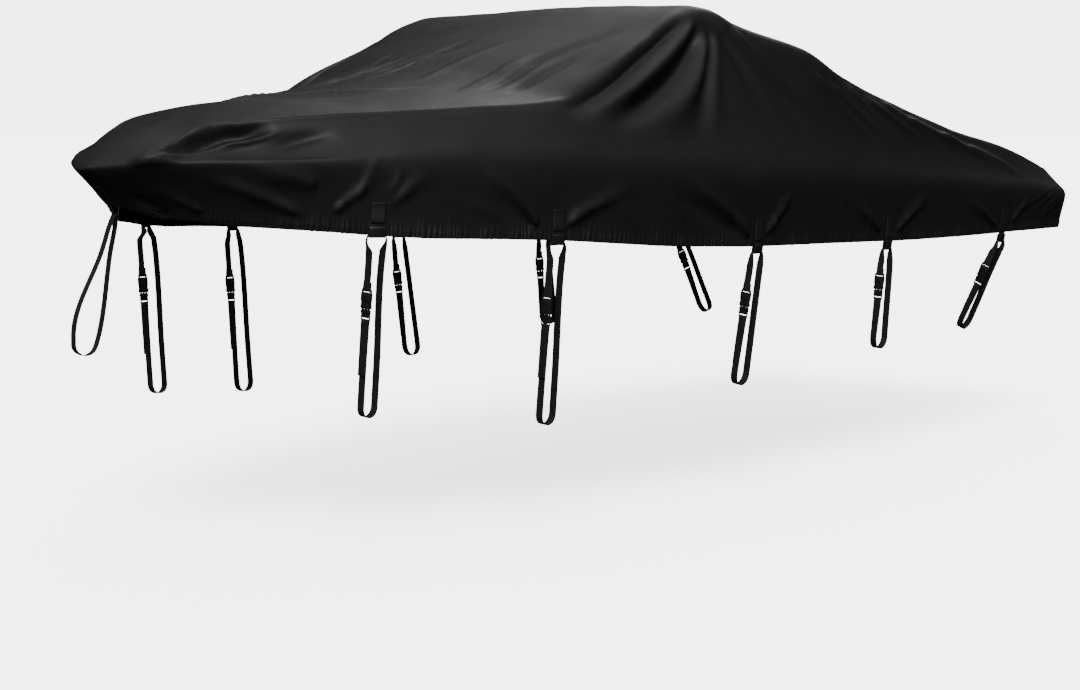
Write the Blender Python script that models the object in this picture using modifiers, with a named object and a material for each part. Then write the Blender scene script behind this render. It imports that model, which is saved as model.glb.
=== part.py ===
"""A fitted cover: one shell of coated woven polyester with a drawn-in hem, and eleven tie-down straps.

Metres, +Z up. X runs from the bow (-X) to the stern (+X), and port is -Y. The origin lies on the underside of the
cloth, under the middle of its highest ridge. The cloth is a closed loop of ribs: each starts at the hem, climbs the
skirt to the shoulder, where the cloth turns over, and runs on over the crest to the middle line.
"""

import math
from collections import namedtuple

import bmesh
import bpy
import numpy as np
from mathutils import Matrix, Vector

# ---- driving dimensions -------------------------------------------------------------------------------------------

CLOTH = 0.003
BOW_X = -2.945
STERN_X = 3.56
HALF_BEAM = 1.19
BOW_RUN = 3.00
BOW_FULLNESS = 1.25
SIDE_TAPER = 0.005
CORNER_RADIUS = 0.20
BOW_RAKE = 0.12
HEM_TUCK, BOW_TUCK = 0.05, 0.66
SPINE_FROM, SPINE_TO = -2.45, 3.00

COLUMNS = 600
SKIRT_RINGS, SIDE_RINGS, TOP_RINGS = 16, 16, 18
COVER_FACES_KEPT = 0.0755

# One row for each cross-section: heights of the hem, of the shoulder where the skirt ends, of the crest and of the
# middle line, the crest's place as a share of the half beam, how far the cloth hangs between shoulder and crest,
# and how much higher the starboard crest is than the port one.
Section = namedtuple("Section", "x hem_z shoulder_z crest_share crest_z middle_z sag starboard_up")
SECTIONS = [
    Section(-2.945, -0.890, -0.740, 0.900, -0.740, -0.740, 0.000, -0.020),
    Section(-2.87, -0.918, -0.727, 0.890, -0.710, -0.698, 0.005, -0.010),
    Section(-2.81, -0.935, -0.715, 0.870, -0.680, -0.655, 0.010, -0.015),
    Section(-2.69, -0.952, -0.702, 0.660, -0.632, -0.595, 0.030, -0.010),
    Section(-2.56, -0.970, -0.694, 0.600, -0.572, -0.560, 0.060, -0.015),
    Section(-2.33, -0.990, -0.692, 0.715, -0.540, -0.497, 0.070, -0.005),
    Section(-2.10, -1.012, -0.698, 0.785, -0.528, -0.465, 0.040, 0.000),
    Section(-1.86, -1.030, -0.707, 0.820, -0.515, -0.450, 0.010, 0.000),
    Section(-1.50, -1.045, -0.720, 0.840, -0.497, -0.400, 0.000, 0.000),
    Section(-1.13, -1.065, -0.732, 0.858, -0.474, -0.315, 0.000, 0.003),
    Section(-0.87, -1.085, -0.739, 0.850, -0.390, -0.235, 0.030, 0.015),
    Section(-0.47, -1.113, -0.750, 0.800, -0.196, -0.115, 0.080, -0.012),
    Section(-0.10, -1.128, -0.767, 0.755, -0.034, -0.015, 0.110, -0.012),
    Section(0.00, -1.133, -0.775, 0.748, -0.009, 0.003, 0.110, -0.012),
    Section(0.10, -1.136, -0.780, 0.765, -0.018, -0.020, 0.110, -0.010),
    Section(0.25, -1.140, -0.786, 0.790, -0.078, -0.070, 0.100, 0.000),
    Section(0.80, -1.150, -0.808, 0.845, -0.190, -0.230, 0.090, 0.000),
    Section(1.10, -1.157, -0.821, 0.855, -0.306, -0.330, 0.080, 0.000),
    Section(1.50, -1.166, -0.840, 0.865, -0.418, -0.435, 0.070, 0.000),
    Section(2.20, -1.170, -0.877, 0.870, -0.572, -0.600, 0.050, 0.000),
    Section(2.90, -1.168, -0.920, 0.870, -0.694, -0.730, 0.030, 0.000),
    Section(3.25, -1.168, -0.945, 0.870, -0.775, -0.815, 0.015, 0.000),
    Section(3.56, -1.168, -0.970, 0.870, -0.880, -0.880, 0.000, 0.000),
]

# Folds, each from its tight end along its middle to where it fades: stations in metres round the shoulder from the
# bow end, places up the rib (hem 0, shoulder 1, crest 2, middle line 3), the half width, how far it stands out, and
# the shares of its length over which it rises and fades.
Fold = namedtuple("Fold", "s0 r0 s1 r1 s2 r2 width height rise fade", defaults=(0.12, 0.55))
FOLDS = [
    # from the port end of the peak: the swags towards the bow, then the rays down to the shoulder
    Fold(2.98, 2.00, 2.68, 2.02, 2.34, 2.04, 0.050, 0.014),
    Fold(3.26, 1.98, 2.74, 1.95, 2.18, 1.88, 0.050, -0.050, 0.25, 0.25),
    Fold(3.28, 1.95, 2.88, 1.85, 2.37, 1.77, 0.040, 0.030, 0.20, 0.40),
    Fold(3.30, 1.93, 3.04, 1.77, 2.40, 1.60, 0.050, -0.050, 0.25, 0.25),
    Fold(3.34, 1.92, 3.15, 1.68, 2.66, 1.40, 0.050, 0.030, 0.20, 0.45),
    Fold(3.37, 1.92, 3.23, 1.65, 2.94, 1.25, 0.050, -0.022),
    Fold(3.40, 1.92, 3.31, 1.63, 3.11, 1.25, 0.040, 0.014),
    Fold(3.40, 1.93, 3.56, 1.72, 3.74, 1.42, 0.050, -0.020),
    Fold(3.41, 1.93, 3.59, 1.77, 3.91, 1.40, 0.035, 0.020),
    Fold(3.45, 1.93, 3.73, 1.73, 3.96, 1.43, 0.035, -0.014),
    Fold(3.50, 1.95, 3.77, 1.78, 4.16, 1.55, 0.040, 0.018),
    # the slant folds off the crest, towards the stern
    Fold(4.10, 1.87, 4.39, 1.67, 4.71, 1.40, 0.030, 0.022),
    Fold(4.22, 1.87, 4.58, 1.70, 4.85, 1.47, 0.030, 0.022),
    Fold(4.40, 1.92, 4.69, 1.75, 5.01, 1.53, 0.030, 0.020),
    Fold(4.57, 1.90, 4.94, 1.78, 5.26, 1.60, 0.030, 0.022),
    Fold(4.74, 1.92, 5.09, 1.82, 5.49, 1.58, 0.030, 0.019),
    Fold(4.98, 1.88, 5.39, 1.80, 5.77, 1.63, 0.030, 0.022),
    Fold(5.33, 1.85, 5.75, 1.72, 6.15, 1.45, 0.030, 0.019),
    Fold(5.65, 1.80, 6.03, 1.63, 6.30, 1.22, 0.030, 0.014),
    # the fans on the skirt, each drawn to a tab
    Fold(1.03, 0.27, 1.13, 0.55, 1.24, 0.87, 0.022, 0.012, 0.06),
    Fold(1.19, 0.17, 1.32, 0.55, 1.46, 0.88, 0.026, 0.015, 0.06),
    Fold(1.99, 0.18, 1.82, 0.65, 1.69, 0.92, 0.028, 0.020, 0.06),
    Fold(1.97, 0.15, 1.85, 0.37, 1.72, 0.72, 0.040, -0.010),
    Fold(2.11, 0.18, 2.30, 0.48, 2.58, 0.77, 0.030, 0.020, 0.06),
    Fold(3.39, 0.13, 3.05, 0.60, 2.79, 0.90, 0.032, 0.020, 0.06),
    Fold(3.30, 0.15, 2.95, 0.47, 2.74, 0.67, 0.040, -0.012),
    Fold(3.51, 0.17, 3.63, 0.50, 3.72, 0.80, 0.026, 0.018, 0.06),
    Fold(4.59, 0.17, 4.41, 0.42, 4.24, 0.67, 0.024, 0.016, 0.06),
    Fold(4.75, 0.18, 4.92, 0.50, 5.08, 0.80, 0.026, 0.016, 0.06),
    Fold(5.89, 0.13, 5.67, 0.47, 5.46, 0.77, 0.024, 0.016, 0.06),
    Fold(6.07, 0.25, 6.18, 0.57, 6.28, 0.85, 0.024, 0.014, 0.06),
    # the bow skirt
    Fold(0.96, 0.60, 0.82, 0.73, 0.60, 0.80, 0.045, 0.012),
    Fold(0.92, 0.18, 0.66, 0.53, 0.46, 0.72, 0.032, 0.014),
    Fold(0.51, 0.15, 0.38, 0.37, 0.25, 0.57, 0.030, 0.008),
    Fold(0.37, 0.07, 0.24, 0.25, 0.13, 0.43, 0.030, -0.008),
]
# On port alone: the taut fold under the bow crest, and the hollows above and below it.
POCKET_FOLDS = [
    Fold(0.95, 1.89, 0.53, 1.50, 0.18, 1.15, 0.020, 0.022, 0.25, 0.15),
    Fold(0.86, 1.91, 0.59, 1.67, 0.32, 1.50, 0.030, -0.048, 0.40, 0.35),
    Fold(0.88, 1.96, 0.68, 1.86, 0.45, 1.76, 0.028, -0.030, 0.30, 0.40),
    Fold(1.13, 1.74, 0.96, 1.74, 0.78, 1.55, 0.036, -0.022, 0.45, 0.45),
]
# The long creases on the face in front of the peak, which have an x and a y in place of a station and a place.
FRONT_FOLDS = [
    Fold(-2.25, 0.04, -1.84, -0.12, -1.35, -0.44, 0.024, 0.026, 0.30, 0.40),
    Fold(-1.28, -0.04, -0.88, -0.01, -0.52, -0.05, 0.018, -0.014, 0.30),
    Fold(-1.26, 0.55, -0.65, 0.83, -0.21, 0.81, 0.030, -0.027, 0.30),
    Fold(-1.53, 0.21, -1.18, 0.18, -0.70, 0.14, 0.020, 0.015, 0.30),
    Fold(-1.31, -0.65, -0.92, -0.60, -0.65, -0.58, 0.020, -0.017, 0.30),
    Fold(-1.41, -0.59, -1.02, -0.53, -0.73, -0.51, 0.020, 0.014, 0.30),
    Fold(-1.28, -0.74, -0.90, -0.71, -0.59, -0.76, 0.022, -0.017, 0.30),
    Fold(-0.95, -0.59, -0.60, -0.63, -0.29, -0.76, 0.030, -0.014, 0.30),
]
STARBOARD_SHIFT, STARBOARD_SHARE = 0.05, 0.85
SHOULDER_ROUNDING, CREST_ROUNDING = 6, 1

# One row for each pair of straps: where the tab hangs, how far its link reaches below the hem, the length of tab and
# link together, the lowest point of the strap and how far inboard that is, the height of its buckle, and half the
# distance between its legs at the bottom.
Strap = namedtuple("Strap", "name x below_hem length low_z inboard buckle_z spread")
STRAPS = [
    Strap("1", -2.02, 0.007, 0.148, -1.770, 0.063, -1.281, 0.041),
    Strap("2", -1.21, 0.020, 0.155, -1.860, 0.065, -1.341, 0.046),
    Strap("3", 0.10, 0.035, 0.165, -1.800, 0.095, -1.387, 0.052),
    Strap("4", 1.33, 0.045, 0.175, -1.720, 0.042, -1.376, 0.058),
    Strap("5", 2.63, 0.055, 0.185, -1.720, 0.230, -1.389, 0.055),
]
BOW_TAB_LENGTH, BOW_TAB_WIDTH = 0.130, 0.030
BOW_LOW_X, BOW_LOW_Z, BOW_LOOP_RADIUS = -2.955, -1.420, 0.060
WEB, WEB_WIDTH, GATHERED_WIDTH = 0.002, 0.038, 0.010
TAB_WIDTH, LINK_WIDTH = 0.058, 0.068
LEG_SPREAD = 0.041
# Below the link, how soon the legs' webbing lies square to the middle plane.
TWISTED_BY = 0.055
TAIL = 0.20
STAND_OFF = 0.0135

# ---- curves -------------------------------------------------------------------------------------------------------


def smooth_line(xs, ys):
    """A smooth curve through the points that doesn't overshoot between them."""
    xs, ys = np.asarray(xs, float), np.asarray(ys, float)
    run = np.diff(xs)
    rise = np.diff(ys) / run
    slope = np.concatenate([rise[:1], np.zeros(len(xs) - 2), rise[-1:]])
    for k in range(1, len(xs) - 1):
        if rise[k - 1] * rise[k] > 0:
            before, after = run[k - 1] + 2 * run[k], 2 * run[k - 1] + run[k]
            slope[k] = (before + after) / (before / rise[k - 1] + after / rise[k])

    def value(x):
        x = np.clip(x, xs[0], xs[-1])
        k = np.clip(np.searchsorted(xs, x, side="right") - 1, 0, len(run) - 1)
        t = (x - xs[k]) / run[k]
        start = ys[k] * (1 + 2 * t) * (1 - t) ** 2 + slope[k] * run[k] * t * (1 - t) ** 2
        end = ys[k + 1] * t**2 * (3 - 2 * t) - slope[k + 1] * run[k] * t**2 * (1 - t)
        return start + end

    return value


def section_line(column):
    return smooth_line([row.x for row in SECTIONS], [getattr(row, column) for row in SECTIONS])


hem_z, shoulder_z = section_line("hem_z"), section_line("shoulder_z")
crest_share, crest_z = section_line("crest_share"), section_line("crest_z")
middle_z, sag = section_line("middle_z"), section_line("sag")
starboard_up = section_line("starboard_up")

BOW_END_X = BOW_X + BOW_RUN
CORNER_X = STERN_X - CORNER_RADIUS
CORNER_Y = HALF_BEAM - SIDE_TAPER * (CORNER_X - BOW_END_X) ** 2 - CORNER_RADIUS


def half_beam(x):
    """Half the width at the shoulder, at this x."""
    x = np.clip(x, BOW_X, STERN_X)
    ahead = np.clip(1 - (x - BOW_X) / BOW_RUN, 0, 1)
    beam = HALF_BEAM * (1 - ahead**2) ** (BOW_FULLNESS / 2)
    beam = beam - SIDE_TAPER * np.clip(x - BOW_END_X, 0, CORNER_X - BOW_END_X) ** 2
    past = np.clip(x - CORNER_X, 0, CORNER_RADIUS)
    return np.where(x > CORNER_X, CORNER_Y + np.sqrt(CORNER_RADIUS**2 - past**2), beam)


def height(x, y):
    """Height of the cloth above its shoulder line, over the point (x, y) of the plan."""
    share = np.clip(np.abs(y) / np.maximum(half_beam(x), 1e-6), 0, 1)
    crest = crest_share(x)
    up = np.clip((1 - share) / (1 - crest), 0, 1)
    out = np.clip(share / crest, 0, 1)
    side = shoulder_z(x) + (crest_z(x) - shoulder_z(x)) * up - 4 * sag(x) * up * (1 - up)
    top = middle_z(x) + (crest_z(x) - middle_z(x)) * out**2
    lift = starboard_up(x) * np.where(y > 0, np.where(share > crest, up, out), 0)
    return np.where(share > crest, side, top) + lift


def shoulder_plan(columns):
    """The shoulder line from the bow end along port, round the stern and back: its points and inward normals."""
    turn = np.linspace(0, math.pi / 2, 400)
    bow = np.stack([BOW_X + BOW_RUN * (1 - np.cos(turn)), -HALF_BEAM * np.sin(turn) ** BOW_FULLNESS], 1)
    aft = np.linspace(BOW_END_X, CORNER_X, 200)[1:]
    side = np.stack([aft, -HALF_BEAM + SIDE_TAPER * (aft - BOW_END_X) ** 2], 1)
    bend = turn[1::4]
    corner = np.stack([CORNER_X + CORNER_RADIUS * np.sin(bend), -CORNER_Y - CORNER_RADIUS * np.cos(bend)], 1)
    across = np.linspace(-CORNER_Y, 0, 60)[1:]
    stern = np.stack([np.full(len(across), STERN_X), across], 1)
    port = np.concatenate([bow, side, corner, stern])
    along = np.concatenate([[0], np.cumsum(np.hypot(*np.diff(port, axis=0).T))])
    wanted = np.linspace(0, along[-1], columns // 2 + 1)
    port = np.stack([np.interp(wanted, along, port[:, axis]) for axis in (0, 1)], 1)
    plan = np.concatenate([port, port[-2:0:-1] * [1, -1]])
    ahead = np.roll(plan, -1, axis=0) - np.roll(plan, 1, axis=0)
    inward = np.stack([-ahead[:, 1], ahead[:, 0]], 1) / np.hypot(*ahead.T)[:, None]
    return plan, inward


def cloth_form(columns, skirt_rings, side_rings, top_rings):
    """The plain taut cloth, as an array of ribs: columns round the hem by rings from the hem to the middle line."""
    plan, inward = shoulder_plan(columns)
    x, y = plan[:, 0], plan[:, 1]
    ahead = np.clip(1 - (x - BOW_X) / BOW_RUN, 0, 1)
    hem = plan + HEM_TUCK * inward
    hem = np.stack([hem[:, 0] + BOW_RAKE * ahead**5, hem[:, 1] * (1 - BOW_TUCK * ahead**8)], 1)
    rings = []
    for up in np.linspace(0, 1, skirt_rings + 1)[:-1]:
        place = hem + (plan - hem) * up
        rings.append(np.column_stack([place, hem_z(x) + (shoulder_z(x) - hem_z(x)) * up]))
    spine = np.clip(x, SPINE_FROM, SPINE_TO)
    over_crest = 1 - crest_share(x)
    inboard = [over_crest * up for up in np.linspace(0, 1, side_rings + 1)]
    inboard += [over_crest + (1 - over_crest) * up for up in np.linspace(0, 1, top_rings + 1)[1:]]
    for share in inboard:
        at_x, at_y = x + (spine - x) * share, y * (1 - share)
        rings.append(np.column_stack([at_x, at_y, height(at_x, at_y)]))
    return np.stack(rings, 1)


def ring_places(skirt_rings, side_rings, top_rings):
    """Where each ring lies up the rib: hem 0, shoulder 1, crest 2, middle line 3."""
    skirt = np.linspace(0, 1, skirt_rings + 1)[:-1]
    return np.concatenate([skirt, np.linspace(1, 2, side_rings + 1), np.linspace(2, 3, top_rings + 1)[1:]])


def soften(form, places, centre, reach, passes):
    """Round the cloth where it turns over, along one place up every rib."""
    nearby = np.exp(-(((places - centre) / reach) ** 2))[None, 1:-1, None]
    for _ in range(passes):
        between = (form[:, :-2] + form[:, 2:]) / 2
        form[:, 1:-1] += 0.5 * nearby * (between - form[:, 1:-1])
    return form


def outward(form):
    """Unit normals of the cloth, pointing out."""
    round_hem = np.roll(form, -1, axis=0) - np.roll(form, 1, axis=0)
    upwards = np.gradient(form, axis=1)
    normal = np.cross(round_hem, upwards)
    size = np.linalg.norm(normal, axis=2, keepdims=True)
    return np.where(size > 1e-9, normal / np.maximum(size, 1e-9), [0.0, 0.0, 1.0])


def on_cloth(form, places, girth, station, place):
    """The point of the cloth at this station round the shoulder and this place up the rib."""
    columns = form.shape[0]
    across, up = station / girth * columns, np.interp(place, places, np.arange(len(places)))
    column, ring = math.floor(across), min(math.floor(up), len(places) - 2)
    u, v = across - column, up - ring
    near = form[column % columns, ring] * (1 - v) + form[column % columns, ring + 1] * v
    far = form[(column + 1) % columns, ring] * (1 - v) + form[(column + 1) % columns, ring + 1] * v
    return near * (1 - u) + far * u


def bowed(start, middle, end, steps=14):
    """A bow through three values."""
    t = np.linspace(0, 1, steps + 1)
    return (1 - t) * (1 - 2 * t) * start + 4 * t * (1 - t) * middle + t * (2 * t - 1) * end


def fold_push(form, fold, line):
    """How far one fold, along this line, moves each point of the cloth out: round across, soft at both ends."""
    steps = len(line) - 1
    push = np.zeros(form.shape[:2])
    low, high = line.min(axis=0) - 3 * fold.width, line.max(axis=0) + 3 * fold.width
    inside = np.all((form > low) & (form < high), axis=2)
    points = form[inside]
    nearest, along = np.full(len(points), 9.0), np.zeros(len(points))
    for k in range(steps):
        step = line[k + 1] - line[k]
        share = np.clip((points - line[k]) @ step / max(step @ step, 1e-12), 0, 1)
        gap = np.linalg.norm(points - line[k] - share[:, None] * step, axis=1)
        closer = gap < nearest
        nearest, along = np.where(closer, gap, nearest), np.where(closer, (k + share) / steps, along)
    strength = np.clip(along / fold.rise, 0, 1) * np.clip((1 - along) / fold.fade, 0, 1)
    strength = strength * strength * (3 - 2 * strength)
    push[inside] = fold.height * strength * np.exp(-((nearest / (fold.width * (0.55 + 0.6 * along))) ** 2))
    return push


def folded_cloth(columns, skirt_rings, side_rings, top_rings):
    """The cloth with its turns rounded and its folds raised, and its plain form before the folds."""
    form = cloth_form(columns, skirt_rings, side_rings, top_rings)
    places = ring_places(skirt_rings, side_rings, top_rings)
    rounding = (skirt_rings / 12) ** 2
    form = soften(form, places, 1.0, 0.35, round(SHOULDER_ROUNDING * rounding))
    form = soften(form, places, 2.0, 0.20, round(CREST_ROUNDING * rounding))
    girth = np.hypot(*np.diff(shoulder_plan(columns)[0], axis=0).T).sum() * columns / (columns - 1)
    push = np.zeros(form.shape[:2])
    sides = ((1, 0, 1), (-1, STARBOARD_SHIFT, STARBOARD_SHARE))
    for fold in FOLDS + POCKET_FOLDS:
        for side, shift, strength in sides[: 1 if fold in POCKET_FOLDS else 2]:
            stations = side * bowed(fold.s0 + shift, fold.s1 + shift, fold.s2)
            rising = zip(stations, bowed(fold.r0, fold.r1, fold.r2))
            line = np.array([on_cloth(form, places, girth, *at) for at in rising])
            push += strength * fold_push(form, fold, line)
    for fold in FRONT_FOLDS:
        x, y = bowed(fold.s0, fold.s1, fold.s2), bowed(fold.r0, fold.r1, fold.r2)
        push += fold_push(form, fold, np.stack([x, y, height(x, y)], 1))
    for strap in STRAPS:
        for side in (-1, 1):
            push *= 1 - np.exp(-((np.abs(form[..., 0] - strap.x) / 0.06) ** 4)) * seat(form, side)
    push *= 1 - np.exp(-((form[..., 1] / 0.06) ** 4)) * (form[..., 2] < -0.76)
    return form + outward(form) * push[..., None], form


def seat(form, side):
    """One under the tabs, on the lower skirt of this side, and nothing above."""
    low = np.clip((-0.86 - 0.02 * form[..., 0] - form[..., 2]) / 0.04, 0, 1)
    return low * (form[..., 1] * side > 0)


def grid_mesh(name, form):
    """A mesh of the ribs, closed round the hem and along the middle line."""
    columns, rings = form.shape[:2]
    middle = form[:, -1]
    form[:, -1] = (middle + np.roll(middle[::-1], 1, axis=0)) / 2
    bm = bmesh.new()
    bmesh.ops.create_grid(bm, x_segments=columns, y_segments=rings - 1, size=0.5)
    for vertex in bm.verts:
        column = round((vertex.co.x + 0.5) * columns) % columns
        ring = round((vertex.co.y + 0.5) * (rings - 1))
        vertex.co = form[column, ring]
    bmesh.ops.remove_doubles(bm, verts=bm.verts, dist=1e-5)
    mesh = bpy.data.meshes.new(name)
    bm.to_mesh(mesh)
    bm.free()
    return mesh


# ---- solids -------------------------------------------------------------------------------------------------------


def clear_scene():
    for old in list(bpy.data.objects):
        bpy.data.objects.remove(old, do_unlink=True)


def material(name, colour, roughness):
    made = bpy.data.materials.new(name)
    made.use_nodes = True
    shader = made.node_tree.nodes["Principled BSDF"]
    shader.inputs["Base Color"].default_value = (*colour, 1)
    shader.inputs["Roughness"].default_value = roughness
    shader.inputs["Metallic"].default_value = 0.0
    return made


def add(name, mesh, finish, collection):
    """A new object of the part, with its finish and smooth faces."""
    made = bpy.data.objects.new(name, mesh)
    mesh.materials.clear()
    mesh.materials.append(finish)
    collection.objects.link(made)
    return made


def flat_plate(outlines, thickness):
    """A plate from flat outlines, the first its edge and the others its holes, thick along Z."""
    curve = bpy.data.curves.new("plate", "CURVE")
    curve.dimensions, curve.fill_mode, curve.extrude = "2D", "BOTH", thickness / 2
    for outline in outlines:
        spline = curve.splines.new("POLY")
        spline.points.add(len(outline) - 1)
        for point, (x, y) in zip(spline.points, outline):
            point.co = (x, y, 0, 1)
        spline.use_cyclic_u = True
    pattern = bpy.data.objects.new("plate", curve)
    mesh = bpy.data.meshes.new_from_object(pattern)
    bpy.data.objects.remove(pattern, do_unlink=True)
    bm = bmesh.new()
    bm.from_mesh(mesh)
    bmesh.ops.remove_doubles(bm, verts=bm.verts, dist=1e-5)
    bmesh.ops.recalc_face_normals(bm, faces=bm.faces)
    bm.to_mesh(mesh)
    bm.free()
    return mesh


def rounded(width, height, radius, centre=(0, 0), steps=2):
    """The outline of a rectangle with round corners."""
    points = []
    for corner in range(4):
        right, top = (1, 1, -1, -1)[corner], (-1, 1, 1, -1)[corner]
        for step in range(steps + 1):
            angle = math.radians(-90 + 90 * corner + 90 * step / steps)
            x = right * (width / 2 - radius) + radius * math.cos(angle)
            y = top * (height / 2 - radius) + radius * math.sin(angle)
            points.append((centre[0] + x, centre[1] + y))
    return points


def block(width, depth, height, centre):
    """A plain box, by its size along X, Y and Z."""
    mesh = bpy.data.meshes.new("block")
    bm = bmesh.new()
    bmesh.ops.create_cube(bm, size=1.0)
    bmesh.ops.scale(bm, vec=(width, depth, height), verts=bm.verts)
    bmesh.ops.translate(bm, vec=centre, verts=bm.verts)
    bm.to_mesh(mesh)
    bm.free()
    return mesh


def combined(base, others):
    """One mesh from a base and (operation, mesh) pairs, joined or cut in turn."""
    body = bpy.data.objects.new("body", base)
    bpy.context.scene.collection.objects.link(body)
    tools = []
    for operation, mesh in others:
        tool = bpy.data.objects.new("tool", mesh)
        bpy.context.scene.collection.objects.link(tool)
        tools.append(tool)
        step = body.modifiers.new(operation, "BOOLEAN")
        step.operation, step.solver, step.object = operation, "EXACT", tool
    ready = body.evaluated_get(bpy.context.evaluated_depsgraph_get())
    mesh = bpy.data.meshes.new_from_object(ready)
    for old in [body, *tools]:
        bpy.data.objects.remove(old, do_unlink=True)
    return mesh


def ribbon(name, points, across, widths, closed=False):
    """Webbing along a line of points: across is the direction of its width at each one."""
    count = len(points)
    length = count if closed else count - 1
    bm = bmesh.new()
    bmesh.ops.create_grid(bm, x_segments=length, y_segments=1, size=0.5)
    for vertex in bm.verts:
        k = round((vertex.co.x + 0.5) * length) % count
        vertex.co = points[k] + across[k].normalized() * widths[k] * (0.5 if vertex.co.y > 0 else -0.5)
    bmesh.ops.remove_doubles(bm, verts=bm.verts, dist=1e-5)
    mesh = bpy.data.meshes.new(name)
    bm.to_mesh(mesh)
    bm.free()
    return mesh


# ---- hardware -----------------------------------------------------------------------------------------------------

RING_LOW, RING_HIGH, LINK_TOP = -0.030, 0.020, 0.045
RING_DEPTH, RING_WALL, LINK_PLATE = 0.018, 0.0025, 0.004
BUCKLE_WIDTH, BUCKLE_DEPTH = 0.054, 0.013
BUCKLE_MOUTH, BUCKLE_TOP, PLUG_LOW = -0.035, 0.049, -0.087
TRIANGLE_TOP, TRIANGLE_BASE, TRIANGLE_HEIGHT, TRIANGLE_BAR = 0.024, 0.036, 0.036, 0.004
UPRIGHT = Matrix.Rotation(math.radians(90), 4, "X")


def link_mesh():
    """The moulded link: width along X, thickness along Y, height along Z.

    Its profile is a flat plate with a ring below it; the tab goes through a slot in the plate, and the strap through
    the ring, sideways.
    """
    middle, height = (RING_LOW + RING_HIGH) / 2, RING_HIGH - RING_LOW
    ring = rounded(RING_DEPTH, height, 0.008, (0, middle), steps=3)
    wall = 2 * RING_WALL
    hole = rounded(RING_DEPTH - wall, height - wall, 0.005, (0, middle), steps=3)
    mesh = flat_plate([ring, hole], LINK_WIDTH)
    mesh.transform(Matrix(((0, 0, 1, 0), (1, 0, 0, 0), (0, 1, 0, 0), (0, 0, 0, 1))))
    plate = block(LINK_WIDTH, LINK_PLATE, LINK_TOP - RING_HIGH + 0.001, (0, 0, (LINK_TOP + RING_HIGH - 0.001) / 2))
    slot = block(0.0605, 0.02, 0.007, (0, 0, 0.0335))
    return combined(mesh, [("UNION", plate), ("DIFFERENCE", slot)])


def triangle_mesh():
    """The bow's flat wire triangle, its short bar at the origin and its long one below."""
    bar = TRIANGLE_BAR
    edge = [(TRIANGLE_TOP / 2 + bar, bar / 2), (-TRIANGLE_TOP / 2 - bar, bar / 2)]
    edge += [(-TRIANGLE_BASE / 2 - bar, bar / 2 - TRIANGLE_HEIGHT), (TRIANGLE_BASE / 2 + bar, bar / 2 - TRIANGLE_HEIGHT)]
    hole = [(TRIANGLE_TOP / 2, -bar / 2), (-TRIANGLE_TOP / 2, -bar / 2)]
    hole += [(-TRIANGLE_BASE / 2, 1.5 * bar - TRIANGLE_HEIGHT), (TRIANGLE_BASE / 2, 1.5 * bar - TRIANGLE_HEIGHT)]
    mesh = flat_plate([edge, hole], bar)
    mesh.transform(UPRIGHT)
    return mesh


def buckle_body_mesh():
    """The receiving half of the buckle: width along X, thickness along Y, height along Z, its mouth at the bottom."""
    height = BUCKLE_TOP - BUCKLE_MOUTH
    shell = flat_plate([rounded(BUCKLE_WIDTH, height, 0.008, (0, BUCKLE_TOP - height / 2))], BUCKLE_DEPTH)
    shell.transform(UPRIGHT)
    mouth = block(0.045, 0.007, 0.040, (0, 0, -0.019))
    windows = block(0.080, 0.0072, 0.014, (0, 0, -0.011))
    slot = block(0.042, 0.030, 0.008, (0, 0, BUCKLE_TOP - 0.011))
    steps = [block(0.080, 0.010, 0.030, (0, side * 0.0085, BUCKLE_TOP - 0.003)) for side in (-1, 1)]
    return combined(shell, [("DIFFERENCE", tool) for tool in [mouth, windows, slot, *steps]])


def buckle_plug_mesh():
    """The plug with its three prongs, in the body's frame."""
    low = PLUG_LOW
    base = [(-0.025, -0.040), (-0.025, low + 0.003), (-0.022, low), (0.022, low), (0.025, low + 0.003), (0.025, -0.040)]
    prong = [(0.0215, -0.037), (0.0215, -0.017), (0.0262, -0.014), (0.0262, -0.009), (0.0200, -0.005)]
    prong += [(0.0165, -0.006), (0.0150, -0.037)]
    tongue = [(0.005, -0.037), (0.004, -0.008), (-0.004, -0.008), (-0.005, -0.037)]
    slot = rounded(0.042, 0.008, 0.001, (0, low + 0.011), steps=1)
    mesh = flat_plate([base + prong + tongue + [(-x, z) for x, z in reversed(prong)], slot], 0.005)
    mesh.transform(UPRIGHT)
    return mesh


def frame_at(origin, outwards, up):
    """A placing matrix: Y outwards, Z up, and X across from them."""
    y = outwards.normalized()
    x = y.cross(up).normalized()
    matrix = Matrix((x, y, x.cross(y))).transposed().to_4x4()
    matrix.translation = origin
    return matrix


def placed(mesh, frame):
    """A copy of a moulding, moved into place."""
    copy = mesh.copy()
    copy.transform(frame)
    return copy


def tab_ribbon(name, frame, width, gap, turn_at, top, lean):
    """A sewn tab in its link's frame: up the back, round the link's bar and up the front, leaning on to the cloth."""
    angles = np.radians([0, 45, 90, 135, 180])
    line = [(-0.0014 - lean, top), (-0.0016 - 0.75 * lean, top - 0.03), (-gap, turn_at + 0.012)]
    line += [(-gap * math.cos(angle), turn_at - gap * math.sin(angle)) for angle in angles]
    line += [(gap, turn_at + 0.012), (0.0016 - 0.75 * lean, top - 0.03), (0.0014 - lean, top)]
    points = [frame @ Vector((0, y, z)) for y, z in line]
    return ribbon(name, points, [frame.to_3x3() @ Vector((1, 0, 0))] * len(points), [width] * len(points))


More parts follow.
